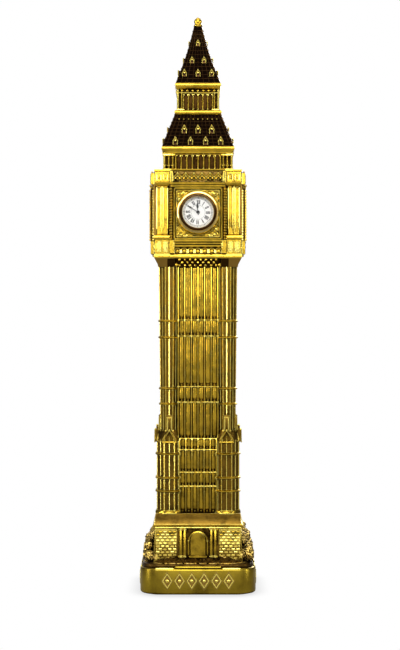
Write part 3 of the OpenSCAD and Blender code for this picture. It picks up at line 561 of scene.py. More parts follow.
def podium():
    bm = bmesh.new()
    with_painted_shade(bm, stack, [(PODIUM_A + 0.6, Z_PODIUM), (PODIUM_A + 0.3, WALL_FOOT), (PODIUM_A - 0.7, SILL[0])])
    face = bmesh.new()
    for s in (-1, 1):
        brick_panel(face, sorted((s * 13.6, s * 27.6)), (WALL_FOOT - 1, WALL_HEAD), PODIUM_A - 0.7)
        for u in (8.6, 11.2):
            capsule(face, s * u, (WALL_FOOT, WALL_HEAD), PODIUM_A + 0.2, 1.05, flat=0.8)
    twin_blocks(face, (7.4, 13.0), (WALL_FOOT, WALL_FOOT + 1.6), (PODIUM_A - 1, PODIUM_A + 1.2))
    twin_blocks(face, (7.4, 13.0), (WALL_HEAD - 1.6, WALL_HEAD), (PODIUM_A - 1, PODIUM_A + 1.0))
    prism(face, arch_outline(DOOR, DOOR_W - 3.6), (PODIUM_A - 2, PODIUM_A + 0.95), 0.3)
    round_arch(face, DOOR, DOOR_W - 1.4, PODIUM_A + 0.6, 0.65)
    block(face, (-5.8, 5.8), (DOOR[0] - 1.6, DOOR[0]), (PODIUM_A - 1, PODIUM_A + 1.7), 0.3)
    bar(face, (-28.2, 28.2), SILL[0] + 0.2, PODIUM_A + 0.1, 0.55)
    around(face)
    merged(bm, face)
    stack(bm, [(PODIUM_A - 0.7, SILL[0] - 0.4), (PODIUM_A + 0.5, SILL[0] + 0.4),
               (PODIUM_A + 0.9, SILL[0] + 1.0), (PODIUM_A + 0.9, SILL[1] - 0.5), (PODIUM_A + 0.3, SILL[1])])
    with_painted_shade(bm, stack, [(PODIUM_A + 0.2, SILL[1] - 0.3), (PODIUM_A - 0.4, SILL[1] + 1.2),
                     (LOWER_A + 0.9, SILL[1] + 4.2), (LOWER_A + 0.5, Z_LOWER)])
    roughen(bm, 0.07, 5.0)
    finish("podium_casting", bm, ANTIQUE, replaces=("podium",), recess=SHADE_GOLD)


def bank():
    """Rough turf and path round the podium's foot, falling to the plinth's rim."""
    bm = bmesh.new()
    rounded_tray(bm, PLINTH_A - 1.6, (Z_PODIUM - 0.8, Z_PODIUM + 2.6), 11.0, 1.0)
    lawn = bmesh.new()
    bmesh.ops.create_grid(lawn, x_segments=90, y_segments=90, size=BANK_A - 1.4,
                          matrix=Matrix.Translation((0, 0, Z_PODIUM + 2.4)))
    for vert in lawn.verts:
        x, y = vert.co.xy
        reach = max(abs(x), abs(y), hypot(x, y) * 0.83)
        climb = min(max(0.0, (PLINTH_A - reach) / 9.0), 1.0)
        tuft = noise.fractal(vert.co / 1.6, 0.7, 2.1, 4) * 1.15
        vert.co.z += climb * 4.6 - 1.0 + tuft * (0.7 + 0.6 * climb)
        overhang = reach / (BANK_A - 1.2)
        if overhang > 1:
            vert.co = (x / overhang, y / overhang, vert.co.z - 2.0)
    middles = [(f, f.calc_center_median()) for f in lawn.faces]
    inner = [f for f, at in middles if max(abs(at.x), abs(at.y)) < PODIUM_A - 3]
    bmesh.ops.delete(lawn, geom=inner, context="FACES")
    merged(bm, lawn)
    finish("turf_bank", bm, LEAF, smooth=60)


# ---------- shaft ----------

# The section of a ring round a turret: how far out, and how high
RING = ((-0.4, -1.1), (0.45, -0.6), (0.9, -0.3), (0.9, 0.3), (0.36, 0.8), (-0.4, 1.1))


def turret(bm, centre, apothem, z, bands, rib):
    """A corner turret: an octagon with ribs and moulded rings. apothem is (foot, head)."""
    with_painted_shade(bm, corner_stack, centre, [(a - 0.45, height) for a, height in zip(apothem, z)])
    for i in range(16):
        angle = i * pi / 8
        corner = i % 2
        foot, head = ((a / cos(pi / 8) - 0.35 if corner else a - 0.3) for a in apothem)
        way = Vector((cos(angle), sin(angle)))
        low, high = (Vector((-centre, -centre)) + way * r for r in (foot, head))
        strut(bm, (*low, z[0]), (*high, z[1]), rib if corner else rib * 0.7)
    for height in bands:
        a = apothem[0] + (apothem[1] - apothem[0]) * (height - z[0]) / (z[1] - z[0])
        corner_stack(bm, centre, [(a + step, height + rise) for step, rise in RING])


def panel(bm, half, courses, out, bays=6):
    """A panelled face: mullions between bays, and in each storey a reed over a bead.

    courses holds the heights of the string courses between the storeys, with the foot and the head.
    """
    pitch = 2 * half / bays
    storeys = [(a + 0.5, b - 0.5) for a, b in zip(courses, courses[1:])]
    foot, head = storeys[0][0], storeys[-1][1]
    with_painted_shade(bm, block, (-half - 0.7, half + 0.7), (foot - 1, head + 1), (out - 4, out - 1.1), 0)
    for u in spread(bays + 1, pitch):
        block(bm, (u - 0.42, u + 0.42), (foot - 0.6, head + 0.6), (out - 2, out + 0.2), 0.22, 2)
    for low, high in storeys:
        for u in spread(bays, pitch):
            capsule(bm, u, (low + 1.4, high + 0.2), out - 0.5, pitch * 0.33, sides=14, rings=4, flat=0.48)
            bead(bm, u, low + 0.7, out - 0.3, 0.72)


def string_courses(bm, half, heights, out):
    for z in heights:
        bar(bm, (-half, half), z, out, 0.42)


LOWER_TURRET = 18.6
LOWER_APOTHEM = 8.3
LOWER_PANEL = 24.4
LOWER_COURSES = (68.9, 78.0, 92.7)
LOWER_RINGS = (65.8, 74.5, 90.1)
EAVES, APEX = 98.4, 106.1
LOWER_HEAD = 99.9
STUB_TOP = 115.4


def lower_shaft():
    bm = bmesh.new()
    a = LOWER_APOTHEM
    turret(bm, LOWER_TURRET, (a, a), (Z_LOWER, EAVES + 1), LOWER_RINGS, 0.44)
    corner_stack(bm, LOWER_TURRET, [(a + 0.9, Z_LOWER - 0.4), (a + 0.9, Z_LOWER + 0.8), (a, Z_LOWER + 2)])
    with_painted_shade(bm, corner_stack, LOWER_TURRET, [(a, EAVES), (a + 0.3, EAVES + 0.8), (a - 0.4, EAVES + 1.8),
                                          (a - 2.2, APEX - 0.6)])
    panel(bm, 11.9, [Z_LOWER, *LOWER_COURSES, LOWER_HEAD], LOWER_PANEL)
    string_courses(bm, 12.4, (*LOWER_COURSES, LOWER_HEAD), LOWER_PANEL - 0.35)
    for u in (-LOWER_TURRET, LOWER_TURRET):
        turret_gable(bm, u, 4.3, (EAVES - 0.6, EAVES + 1.0, APEX), 28.4)
        with_painted_shade(bm, block, (u - 1.9, u + 1.9), (APEX - 1.6, STUB_TOP - 0.8), (20, 25.6), 0.5, 2)
        with_painted_shade(bm, block, (u - 2.2, u + 2.2), (STUB_TOP - 1.6, STUB_TOP), (20, 25.8), 0.5, 2)
        for side in (-1.2, 1.2):
            capsule(bm, u + side, (APEX - 1.2, STUB_TOP - 1.5), 25.5, 0.4)
    around(bm)
    roughen(bm, 0.06, 6.0)
    finish("lower_shaft_casting", bm, ANTIQUE, replaces=("lower_shaft",), recess=SHADE_GOLD)


def turret_gable(bm, u, half, z, out):
    """A gabled block on a turret: thin bright rakes and sill round a field darkened with painted shade, with
    a boss.
    """
    foot, eaves, peak = z
    outline = [(u - half, foot), (u + half, foot), (u + half, eaves), (u, peak), (u - half, eaves)]
    with_painted_shade(bm, prism, outline, (out - 7, out - 0.7), 0.2)
    for side in (-half, half):
        strut(bm, (u + side, 0.3 - out, eaves - 0.9), (u, 0.3 - out, peak - 0.4), 0.48, sides=8)
        post = u + side * 0.7
        strut(bm, (post, 0.6 - out, foot), (post, 0.6 - out, eaves + 1.0), 0.4, sides=8)
    bead(bm, u, peak - 0.3, out - 0.4, 0.7)
    bead(bm, u, eaves + 2.1, out - 0.6, 0.85)
    capsule(bm, u, (foot, eaves + 1.4), out - 0.6, 0.5)
    bar(bm, (u - half - 0.5, u + half + 0.5), foot + 0.1, out - 0.2, 0.6)


SHAFT_TURRET = 18.7
SHAFT_APOTHEM = (5.7, 6.8)
SHAFT_PANEL = 23.6
SHAFT_COURSES = (123.7, 133.8, 166.8, 177.3)
SHAFT_RINGS = (122.5, 132.6, 165.9, 176.6)


def upper_shaft():
    bm = bmesh.new()
    turret(bm, SHAFT_TURRET, SHAFT_APOTHEM, (Z_UPPER - 1, Z_STAGE), SHAFT_RINGS, 0.45)
    panel(bm, 12.9, [LOWER_HEAD - 0.3, *SHAFT_COURSES, Z_STAGE], SHAFT_PANEL)
    string_courses(bm, 13.7, SHAFT_COURSES, SHAFT_PANEL - 0.25)
    around(bm)
    roughen(bm, 0.05, 7.0)
    finish("upper_shaft_casting", bm, ANTIQUE, replaces=("upper_shaft",), recess=SHADE_GOLD)


# ---------- clock stage ----------

LEDGE = (217.5, 220.2)
PIER_U = (18.4, 28.0)
PANEL_HALF = 18.2
FRIEZE = (263.2, 266.4)
FIELD = (228.9, 263.2)
FIELD_MID = sum(FIELD) / 2
PANEL_CORE = PANEL_OUT - 1.6
PANEL_TOP = 274.2
# The section of a corner pier: how far beyond its half width, and the height
PIER = ((-0.1, LEDGE[1] - 0.3), (-0.1, 229.2), (0.5, 229.8), (0.8, 230.8), (0.5, 231.9), (-0.4, 232.4),
        (-1.4, 233.2), (-1.4, 264.2), (-0.2, 265.0), (0.4, 265.8), (0.4, 266.8), (-0.2, 267.2),
        (-0.2, 273.4), (0.5, 273.9), (0.5, 275.0))


def tapered_block(bm, low, high):
    """A block between two level rectangles: low and high each hold (u0, u1, out0, out1, z)."""
    rings = []
    for u0, u1, out0, out1, z in (low, high):
        corners = ((u0, out1), (u1, out1), (u1, out0), (u0, out0))
        rings.append([bm.verts.new((u, -out, z)) for u, out in corners])
    lower, upper = rings
    bm.faces.new(lower)
    bm.faces.new(upper)
    for i in range(4):
        j = (i + 1) % 4
        bm.faces.new((lower[i], lower[j], upper[j], upper[i]))


def corbels(bm):
    """The splayed foot of the stage: plain ends, and under each dial a hollow with three rows of pellets."""
    foot, top = Z_STAGE, LEDGE[0]
    a, b = SHAFT_HEAD_A + 0.1, PIER_A - 0.1
    for s in (-1, 1):
        low = (*sorted((s * 14.6, s * a)), 20, a, foot)
        high = (*sorted((s * 15.4, s * b)), 20, b, top)
        with_painted_shade(bm, tapered_block, low, high)
        bead(bm, s * 14.0, foot + 1.4, a + 0.1, 1.15, tall=1.3)
    for row in range(3):
        z = foot + 1.1 + row * 1.85
        out = SHAFT_HEAD_A - 0.6 + (z - foot) / (top - foot) * 2.8
        for u in spread(8 - row % 2, 3.4):
            bead(bm, u, z, out, 0.92, flat=0.9)


def pier(bm):
    """One corner pier, at the front left: panelled foot, roll, panelled shaft and traceried head."""
    mid = -sum(PIER_U) / 2
    wide = (PIER_U[1] - PIER_U[0]) / 2
    stack(bm, [(wide + step, z) for step, z in PIER], middle=(mid, mid))
    out = -mid + wide
    for centre in (mid, -mid):
        for u in (centre - 2.2, centre + 2.2):
            block(bm, (u - 1.6, u + 1.6), (221.3, 228.4), (out - 1, out + 0.25), 0.3)
            block(bm, (u - 0.9, u + 0.9), (222.3, 227.4), (out, out + 0.6), 0.35)
            for s in (-1, 1):
                capsule(bm, u + s * 1.35, (236.4, 263.4), out - 1.1, 0.42, sides=6, rings=4)
                capsule(bm, u + s * 1.3, (268.0, 271.1), out - 0.1, 0.35, sides=6, rings=4)
            arc_tube(bm, u, 262.4, out - 1.1, 1.35, 0.4)
            arc_tube(bm, u, 271.0, out - 0.1, 1.3, 0.35)
            bead(bm, u, 269.6, out - 0.1, 0.65, tall=1.5)
            for z in (238.6, 240.6, 242.6):
                bead(bm, u, z, out - 1.3, 0.5)
        capsule(bm, centre, (233.6, 264.0), out - 1.2, 0.55, sides=6, rings=4)


def to_side(step, middle, sides):
    """How many steps it takes to get from the middle to the side that the step heads for."""
    if abs(step) < 1e-6:
        return float("inf")
    return (sides[1 if step > 0 else 0] - middle) / step


def holed_plate(bm, r, u, z, out, steps=64):
    """A rectangular plate with the clock's round hole through it."""
    place = Matrix.Translation((DIAL_X, -out[0], DIAL_Z)) @ Matrix.Rotation(pi / 2, 4, "X")
    rim = bmesh.ops.create_circle(bm, cap_ends=False, segments=steps, radius=r, matrix=place)["verts"]
    grown = bmesh.ops.extrude_edge_only(bm, edges=edges_of(rim))
    for vert in moved_up(grown, bmesh.types.BMVert):
        du, dz = vert.co.x - DIAL_X, vert.co.z - DIAL_Z
        reach = min(to_side(du, DIAL_X, u), to_side(dz, DIAL_Z, z))
        vert.co.x, vert.co.z = DIAL_X + du * reach, DIAL_Z + dz * reach
    raised = bmesh.ops.extrude_face_region(bm, geom=moved_up(grown, bmesh.types.BMFace))
    bmesh.ops.translate(bm, verts=moved_up(raised, bmesh.types.BMVert), vec=(0, out[0] - out[1], 0))


def scroll(bm, u, z, out, size, turn, flip):
    """A leafy scroll: three arcs that tighten round a boss."""
    radii = [size * share for share in (1.0, 0.68, 0.45, 0.3)]
    for r, following in zip(radii, radii[1:]):
        arc_tube(bm, u, z, out, r, 0.4, start=turn, sweep=flip * pi, steps=6)
        turn += flip * pi
        u += (r - following) * cos(turn)
        z += (r - following) * sin(turn)
    bead(bm, u, z, out, size * 0.3)


def panel_body(bm):
    """The body of a dial panel, darkened with painted shade, in four parts round the clock's hole."""
    behind = (24, PANEL_CORE - 1.2)
    for z in ((LEDGE[1], DIAL_Z - HOLE_BOX), (DIAL_Z + HOLE_BOX, PANEL_TOP)):
        with_painted_shade(bm, block, (-PANEL_HALF, PANEL_HALF), z, behind, 0.3)
    with_painted_shade(bm, twin_blocks, (HOLE_BOX, PANEL_HALF), (LEDGE[1], PANEL_TOP), behind)


def panel_borders(bm):
    """Beaded borders at both sides of the dial, between plain stops."""
    core = PANEL_CORE
    with_painted_shade(bm, twin_blocks, (15.6, PANEL_HALF), (229.0, 263.4), (core - 3, core - 0.1))
    twin_blocks(bm, (15.2, PANEL_HALF + 0.2), (220.4, 229.2), (core - 2, core + 0.7))
    twin_blocks(bm, (16.0, PANEL_HALF + 0.1), (266.2, 273.8), (core - 2, core + 0.6))
    for s in (-1, 1):
        for z in spread(19, 1.78):
            bead(bm, s * 17.3, FIELD_MID + z, core + 0.95, 0.84)
            bead(bm, s * 17.9, FIELD_MID + z, core - 1.2, 0.8)
        capsule(bm, s * 17.2, (266.6, 273.2), core + 0.5, 0.55)


def egg_niches(bm):
    """A row of arched niches with an egg in each, and three rolls above it."""
    core = PANEL_CORE
    with_painted_shade(bm, block, (-15.4, 15.4), (LEDGE[1] + 0.2, 224.6), (core - 2, core - 0.9), 0.1)
    for u in spread(7, 4.45):
        bead(bm, u, 221.7, core - 0.4, 1.3, tall=1.1, flat=0.8, detail=2)
        arc_tube(bm, u, 222.0, core - 0.2, 1.85, 0.36)
        for s in (-1, 1):
            capsule(bm, u + s * 1.85, (220.3, 222.2), core - 0.2, 0.36, sides=6, rings=4)
    for z, r, proud in ((225.1, 0.75, 0.4), (226.8, 0.65, 0.0), (228.4, 0.8, 0.5)):
        bar(bm, (-16.2, 16.2), z, core + proud, r)
    with_painted_shade(bm, block, (-15.8, 15.8), (224.6, FIELD[0]), (core - 2, core - 0.2), 0.1)


def dial_field(bm):
    """The square field round the dial: plate, two frames and the ring that the bezel stands in."""
    core, out = PANEL_CORE, PANEL_OUT
    holed_plate(bm, BORE_R, (-15.9, 15.9), FIELD, (core - 3, core - 0.6))
    for r, lip in ((15.3, 0.72), (13.9, 0.4)):
        reach = (FIELD[1] - FIELD[0]) / 2 - 16.0 + r
        for s in (-1, 1):
            bar(bm, (-r, r), FIELD_MID + s * reach, core + 0.3, lip)
            capsule(bm, s * r, (FIELD_MID - reach, FIELD_MID + reach), core + 0.3, lip)
    ring_disc(bm, [(BORE_R, core - 3), (14.2, core - 3), (14.2, out - 0.7), (13.8, out - 0.05),
                   (BORE_R, out - 0.05)])
    arc_tube(bm, DIAL_X, DIAL_Z, core - 0.1, 14.5, 0.5, sweep=tau, steps=64, sides=8)


BERRIES = ((1.5, 1.6, 0.6), (-6.0, 1.6, 0.55), (1.5, -6.0, 0.55), (-2.2, -2.0, 0.5), (-8.0, 2.2, 0.45),
           (2.0, -8.0, 0.45))


def filigree(bm):
    """Scrolls and berries in the four corners of the field."""
    for su in (-1, 1):
        for sz in (-1, 1):
            u, z = su * 11.9, FIELD_MID + sz * 13.0
            scroll(bm, u, z, PANEL_CORE - 0.1, 1.7, 0 if su > 0 else pi, sz * su)
            scroll(bm, u - su * 3.5, z + sz * 0.8, PANEL_CORE - 0.1, 1.2, pi / 2, -sz * su)
            scroll(bm, u + su * 0.7, z - sz * 3.4, PANEL_CORE - 0.1, 1.2, 0, sz * su)
            for du, dz, r in BERRIES:
                bead(bm, u + su * du, z + sz * dz, PANEL_CORE - 0.2, r)


def parapet(bm):
    """The frieze over the dial and the row of gablets, arches and bosses above it."""
    core = PANEL_CORE
    bar(bm, (-17.8, 17.8), FRIEZE[0] + 0.7, core + 0.4, 0.85)
    bar(bm, (-18.0, 18.0), FRIEZE[0] + 2.3, core + 0.8, 0.9)
    with_painted_shade(bm, block, (-15.8, 15.8), (FRIEZE[1] - 0.8, PANEL_TOP + 0.2), (core - 3, core - 0.9), 0.1)
    for u in spread(6, 5.25):
        for s in (-1, 1):
            strut(bm, (u + s * 2.5, -core - 0.1, 269.8), (u, -core - 0.1, 272.4), 0.55, sides=8)
        arc_tube(bm, u, 268.9, core - 0.1, 1.35, 0.5)
        bead(bm, u, 268.3, core - 0.2, 0.85)
        bead(bm, u, 270.9, core - 0.1, 0.7)
        bead(bm, u, 272.6, core, 0.7)
    for u in spread(7, 5.25):
        capsule(bm, u, (266.9, 270.6), core, 0.5, rings=4)
    bar(bm, (-17.6, 17.6), PANEL_TOP + 0.3, core - 0.1, 0.6)


def cast_dial():
    """The dial in relief on each face that has no clock: ring, hour marks and hands."""
    bm = bmesh.new()
    out = PANEL_OUT - 1.1
    section = ((0.05, -3), (13.4, -3), (13.4, -0.4), (12.9, 0.5), (12.2, 0.9), (11.6, 0.5), (10.6, -0.3),
               (10.0, -0.7), (0.05, -0.7))
    ring_disc(bm, [(r, out + rise) for r, rise in section])
    for hour in range(12):
        long = 2.4 if hour % 3 == 0 else 1.5
        marker(bm, hour * pi / 6, 8.9 - long, 8.9, 0.34, out - 0.6)
    marker(bm, radians(-58), -1.6, 7.6, 0.3, out - 0.1)
    marker(bm, radians(4), -1.4, 5.2, 0.4, out - 0.2)
    bead(bm, DIAL_X, DIAL_Z, out - 0.4, 0.9)
    return bm


def marker(bm, angle, r0, r1, half, out):
    """A bar that points away from the dial's middle, clockwise from twelve by angle."""
    place = (Matrix.Translation((DIAL_X, -out, DIAL_Z)) @ Matrix.Rotation(angle, 4, "Y")
             @ Matrix.Translation((0, 0, (r0 + r1) / 2)) @ Matrix.Diagonal((2 * half, 0.9, r1 - r0, 1)))
    verts = bmesh.ops.create_cube(bm, size=1, matrix=place)["verts"]
    round_edges(bm, edges_of(verts), 0.12)


def clock_stage():
    bm = bmesh.new()
    corbels(bm)
    pier(bm)
    for part in (panel_body, panel_borders, egg_niches, dial_field, filigree, parapet):
        part(bm)
    around(bm)
    dial = cast_dial()
    around(dial)
    front = [v for v in dial.verts if v.co.y < -abs(v.co.x) and v.co.y < -20]
    bmesh.ops.delete(dial, geom=front, context="VERTS")
    merged(bm, dial)
    with_painted_shade(bm, stack, [(SHAFT_HEAD_A - 2.4, Z_STAGE), (PIER_A - 2.6, LEDGE[0] - 0.1)])
    with_painted_shade(bm, stack, [(24.6, LEDGE[1]), (24.6, 273.4)])
    stack(bm, [(PIER_A - 2.6, LEDGE[0] - 0.1), (PIER_A, LEDGE[0]), (PIER_A + 0.2, LEDGE[0] + 1.0),
               (PIER_A - 0.1, LEDGE[1] - 0.4), (PIER_A - 0.8, LEDGE[1]), (24.5, LEDGE[1] + 0.4),
               (24.5, 273.4), (27.6, 273.6), (27.6, Z_BELFRY)])
    roughen(bm, 0.05, 6.0)
    finish("clock_stage_casting", bm, ANTIQUE, replaces=("clock_stage",), recess=DEEP_SHADE)


# ---------- belfry and lantern ----------

# A cornice's section: how far out, as a share of its projection, and how high, as a share of its height
CORNICE = ((0.55, 0.35), (0.9, 0.5), (1.0, 0.68), (0.8, 0.88), (0.3, 1.0))


def cornice(bm, half, z, out=1.0):
    """A square cornice: hollow, fillet, roll and weathered top."""
    foot, top = z
    tall = top - foot
    mouldings = [(half + out * share, foot + tall * rise) for share, rise in CORNICE]
    stack(bm, [(half - 1, foot), (half + 0.1, foot + tall * 0.12), *mouldings, (half - 1.5, top + 0.2)])


def colonnade(bm, half, bays, z, out, core, shaft):
    """A row of round-headed openings between thin shafts."""
    pitch = 2 * half / bays
    with_painted_shade(bm, block, (-half - 0.5, half + 0.5), z, (core - 2, core), 0)
    for u in spread(bays + 1, pitch):
        capsule(bm, u, z, out - shaft, shaft, rings=4)
        bead(bm, u, z[0] + 0.6, out - shaft, shaft * 1.35)
    for u in spread(bays, pitch):
        r = pitch / 2 - shaft * 0.6
        arc_tube(bm, u, z[1] - r - 0.2, out - shaft - 0.1, r, shaft * 0.6, steps=6)
        bead(bm, u, z[0] + 1.0, core + 0.3, 0.8, tall=1.6)


def belfry():
    bm = bmesh.new()
    top = 287.0
    for u in (BELFRY_A - 6.4, BELFRY_A - 3.8, BELFRY_A - 1.1):
        for middle in (-u, u):
            capsule(bm, middle, (Z_BELFRY + 0.2, top), BELFRY_A - 0.7, 0.6)
            bar(bm, (middle - 1.0, middle + 1.0), Z_BELFRY + 3.4, BELFRY_A - 0.9, 0.35)
    twin_blocks(bm, (15.0, BELFRY_A), (top - 2.4, top - 1.0), (18, BELFRY_A + 0.1))
    twin_blocks(bm, (15.0, BELFRY_A), (Z_BELFRY, Z_BELFRY + 1.2), (18, BELFRY_A + 0.3))
    colonnade(bm, 14.6, 8, (Z_BELFRY + 0.2, top - 1.0), BELFRY_A - 0.1, 20.0, 0.66)
    bar(bm, (-22.4, 22.4), top - 0.4, BELFRY_A - 0.1, 0.75)
    around(bm)
    with_painted_shade(bm, stack, [(BELFRY_A - 1.6, Z_BELFRY - 0.2), (BELFRY_A - 1.6, top)])
    cornice(bm, BELFRY_A, (286.9, Z_ROOF))
    roughen(bm, 0.07, 5.0)
    finish("belfry_casting", bm, ANTIQUE, replaces=("belfry",), recess=DEEP_SHADE)


def lantern():
    bm = bmesh.new()
    foot, head, top = Z_LANTERN + 3.2, 327.2, 329.6
    for u in (LANTERN_A - 3.2, LANTERN_A - 0.8):
        for middle in (-u, u):
            capsule(bm, middle, (foot, top), LANTERN_A - 0.6, 0.6)
    twin_blocks(bm, (LANTERN_A - 4.4, LANTERN_A), (foot, foot + 1.0), (9, LANTERN_A + 0.2), 0.25)
    colonnade(bm, LANTERN_A - 4.4, 6, (foot, head), LANTERN_A - 0.3, 11.0, 0.5)
    for u in spread(7, 3.5):
        bead(bm, u, head + 1.3, LANTERN_A - 0.2, 0.85, detail=2)
    bar(bm, (-13.6, 13.6), head, LANTERN_A - 0.2, 0.4)
    around(bm)
    with_painted_shade(bm, stack, [(LANTERN_A - 1.4, Z_LANTERN), (LANTERN_A - 1.4, 330)])
    cornice(bm, LANTERN_A + 0.4, (Z_LANTERN - 0.6, foot), 1.2)
    cornice(bm, LANTERN_A, (top - 0.2, Z_SPIRE), 1.3)
    roughen(bm, 0.06, 4.0)
    finish("lantern_casting", bm, ANTIQUE, replaces=("lantern",), recess=DEEP_SHADE)


# ---------- roofs ----------

def dormer(dark, gold, u, z, width, tall, face):
    """A dark gabled dormer with gilt posts and rakes: face(z) is how far out the roof stands at a height."""
    out = face(z) + 0.8
    deep = (face(z + tall) - 1.5, out - 0.5)
    half, eaves, peak = width / 2, z + tall * 0.5, z + tall
    prism(dark, [(u - half, z), (u + half, z), (u + half, eaves), (u, peak), (u - half, eaves)], deep)
    for s in (-1, 1):
        capsule(gold, u + s * half * 0.85, (z - 0.2, eaves + 0.1), out - 0.4, 0.36, rings=4)
        strut(gold, (u + s * half * 1.05, -out + 0.3, eaves - 0.4), (u, -out + 0.3, peak), 0.36, sides=8)
    bead(gold, u, peak - 0.1, out - 0.4, 0.6)
    bead(gold, u, eaves + 0.3, out - 0.7, width * 0.24, flat=0.6)


def roof_out(z):
    return ROOF_FOOT_A + (ROOF_HEAD_A - ROOF_FOOT_A) * (z - Z_ROOF) / (Z_LANTERN - Z_ROOF)


def spire_out(z):
    share = (z - Z_SPIRE) / (Z_FINIAL - Z_SPIRE)
    return SPIRE_A + (SPIRE_TOP_A - SPIRE_A) * share - 0.9 * sin(pi * share)


def risers(z, steps):
    """The pairs of heights that split z into equal steps."""
    heights = [z[0] + (z[1] - z[0]) * i / steps for i in range(steps + 1)]
    return zip(heights, heights[1:])


def tiers(bm, surface, z, steps):
    """The body of a roof: courses that each stand out a little at their foot."""
    for low, high in risers(z, steps):
        stack(bm, [(surface(low) + 0.1, low), (surface(high) - 0.02, high + 0.02)])


def hips(bm, surface, z, r, steps):
    """The roll on a corner of a roof, with crockets."""
    for low, high in risers(z, steps):
        a, b = surface(low), surface(high)
        strut(bm, (-a, -a, low), (-b, -b, high), r)
        bead(bm, -b - 0.1, high, b + 0.1, r * 1.5)


def dressed_roof(name, tiles, front, surface, rows, studs=(), wear=0.05):
    """Finishes a roof from its tiled body, one face's ribs, and rows of (count, pitch, foot, width, tall)."""
    around(front)
    merged(tiles, front)
    dark, gold = bmesh.new(), bmesh.new()
    for count, pitch, foot, width, tall in rows:
        for u in spread(count, pitch):
            dormer(dark, gold, u, foot, width, tall, surface)
    for u, z in studs:
        bead(gold, u, z, surface(z) + 0.2, 0.5)
    around(dark)
    merged(tiles, dark)
    roughen(tiles, 0.05, 4.0)
    finish(f"{name}_casting", tiles, BRONZE, replaces=(name,))
    around(gold)
    roughen(gold, wear, 4.0)
    finish(f"{name}_dormers", gold, ANTIQUE)


def lower_roof():
    tiles, front = bmesh.new(), bmesh.new()
    tiers(tiles, roof_out, (Z_ROOF, Z_LANTERN), 9)
    foot, head = roof_out(Z_ROOF), roof_out(Z_LANTERN)
    for share in spread(13, 0.15):
        strut(front, (share * foot, -foot - 0.1, Z_ROOF), (share * head, -head - 0.1, Z_LANTERN - 0.4), 0.2)
    hips(front, roof_out, (Z_ROOF, Z_LANTERN), 0.5, 8)
    dressed_roof("lower_roof", tiles, front, roof_out, ((4, 9.9, 291.8, 3.1, 4.9), (3, 9.0, 299.6, 3.2, 5.2)),
                 studs=[(u, 309.4) for u in spread(9, 3.1)], wear=0.06)


def spire():
    tiles, front = bmesh.new(), bmesh.new()
    tiers(tiles, spire_out, (Z_SPIRE, Z_FINIAL), 14)
    for share in spread(7, 0.26):
        for low, high in risers((Z_SPIRE, Z_FINIAL - 4), 6):
            a, b = spire_out(low), spire_out(high)
            strut(front, (share * a, -a - 0.05, low), (share * b, -b - 0.05, high), 0.24)
    hips(front, spire_out, (Z_SPIRE, Z_FINIAL), 0.45, 12)
    dressed_roof("spire", tiles, front, spire_out,
                 ((3, 9.0, 338.2, 2.9, 4.4), (2, 8.0, 347.6, 2.7, 4.0), (1, 0, 359.8, 2.4, 3.8)))


def finial():
    """The bud on the tip: (half width, share of the height)."""
    bud = ((2.75, 0.08), (2.75, 0.2), (2.2, 0.3), (2.3, 0.38), (2.7, 0.52), (2.5, 0.68), (1.8, 0.84),
           (0.9, 0.95), (0.2, 1.0))
    rise = Z_TIP - Z_FINIAL
    bm = bmesh.new()
    stack(bm, [(2.0, Z_FINIAL - 0.3), *((half, Z_FINIAL + share * rise) for half, share in bud)], sides=16)
    finish("finial_cap", bm, ANTIQUE, replaces=("finial",), smooth=60)


GOLDEN_ANGLE = pi * (3 - 5 ** 0.5)


def leafy(bm, centre, r, leaves, seed):
    """A clump: a lumpy core set with small leaves that point outwards."""
    centre = Vector(centre)
    core = bmesh.ops.create_icosphere(bm, subdivisions=3, radius=r,
                                      matrix=Matrix.Translation(centre) @ Matrix.Diagonal((1, 0.8, 1, 1)))
    for vert in core["verts"]:
        vert.co += (vert.co - centre).normalized() * noise.noise(vert.co / 1.3 + Vector((seed, 0, 0)))
    for i in range(leaves):
        up = 1 - 2 * (i + 0.5) / leaves
        ring = (1 - up * up) ** 0.5
        turn = GOLDEN_ANGLE * i + seed
        way = Vector((ring * cos(turn), ring * sin(turn) * 0.8, up))
        outward = way.to_track_quat("Z", "Y").to_matrix().to_4x4()
        spin = Matrix.Rotation(GOLDEN_ANGLE * 7 * i + seed, 4, "Z")
        place = (Matrix.Translation(centre + way * (r + 0.1)) @ outward @ spin
                 @ Matrix.Rotation(0.5, 4, "X") @ Matrix.Diagonal((0.75, 1.25, 0.32, 1)))
        bmesh.ops.create_icosphere(bm, subdivisions=1, radius=1.0, matrix=place)


def shrubs():
    """Ivy and bushes banked against the sides: a wedge of clumps, widest at its foot."""
    foot, head = extent("shrubs", 2)
    for side, name, count, rise in ((-1, "left", 48, 0.9), (1, "right", 60, 1.0)):
        bm = bmesh.new()
        chance = random.Random(11 + side)
        for i in range(count):
            share = chance.random() ** 1.3
            r = chance.uniform(2.3, 3.7) * (1.12 - 0.35 * share)
            out = PODIUM_A - 0.8 + (1 - share) ** 0.7 * chance.uniform(0.5, 8.0)
            along = chance.uniform(-30, 30) * (1 - 0.2 * share)
            z = foot + 2.2 + share * rise * (head - foot - 5)
            clump = bmesh.new()
            leafy(clump, (side * min(out, BANK_A - r + 0.9), along, z), r, 46, 1.7 * i)
            merged(bm, clump)
        for vert in bm.verts:
            vert.co.x = max(-BANK_A, min(BANK_A, vert.co.x))
            vert.co.y = max(-BANK_A + 2, min(BANK_A - 2, vert.co.y))
            vert.co.z = max(vert.co.z, foot - 0.5)
        finish(f"shrub_bank_{name}", bm, LEAF, replaces=("shrubs",), smooth=50)


# ---------- clock ----------

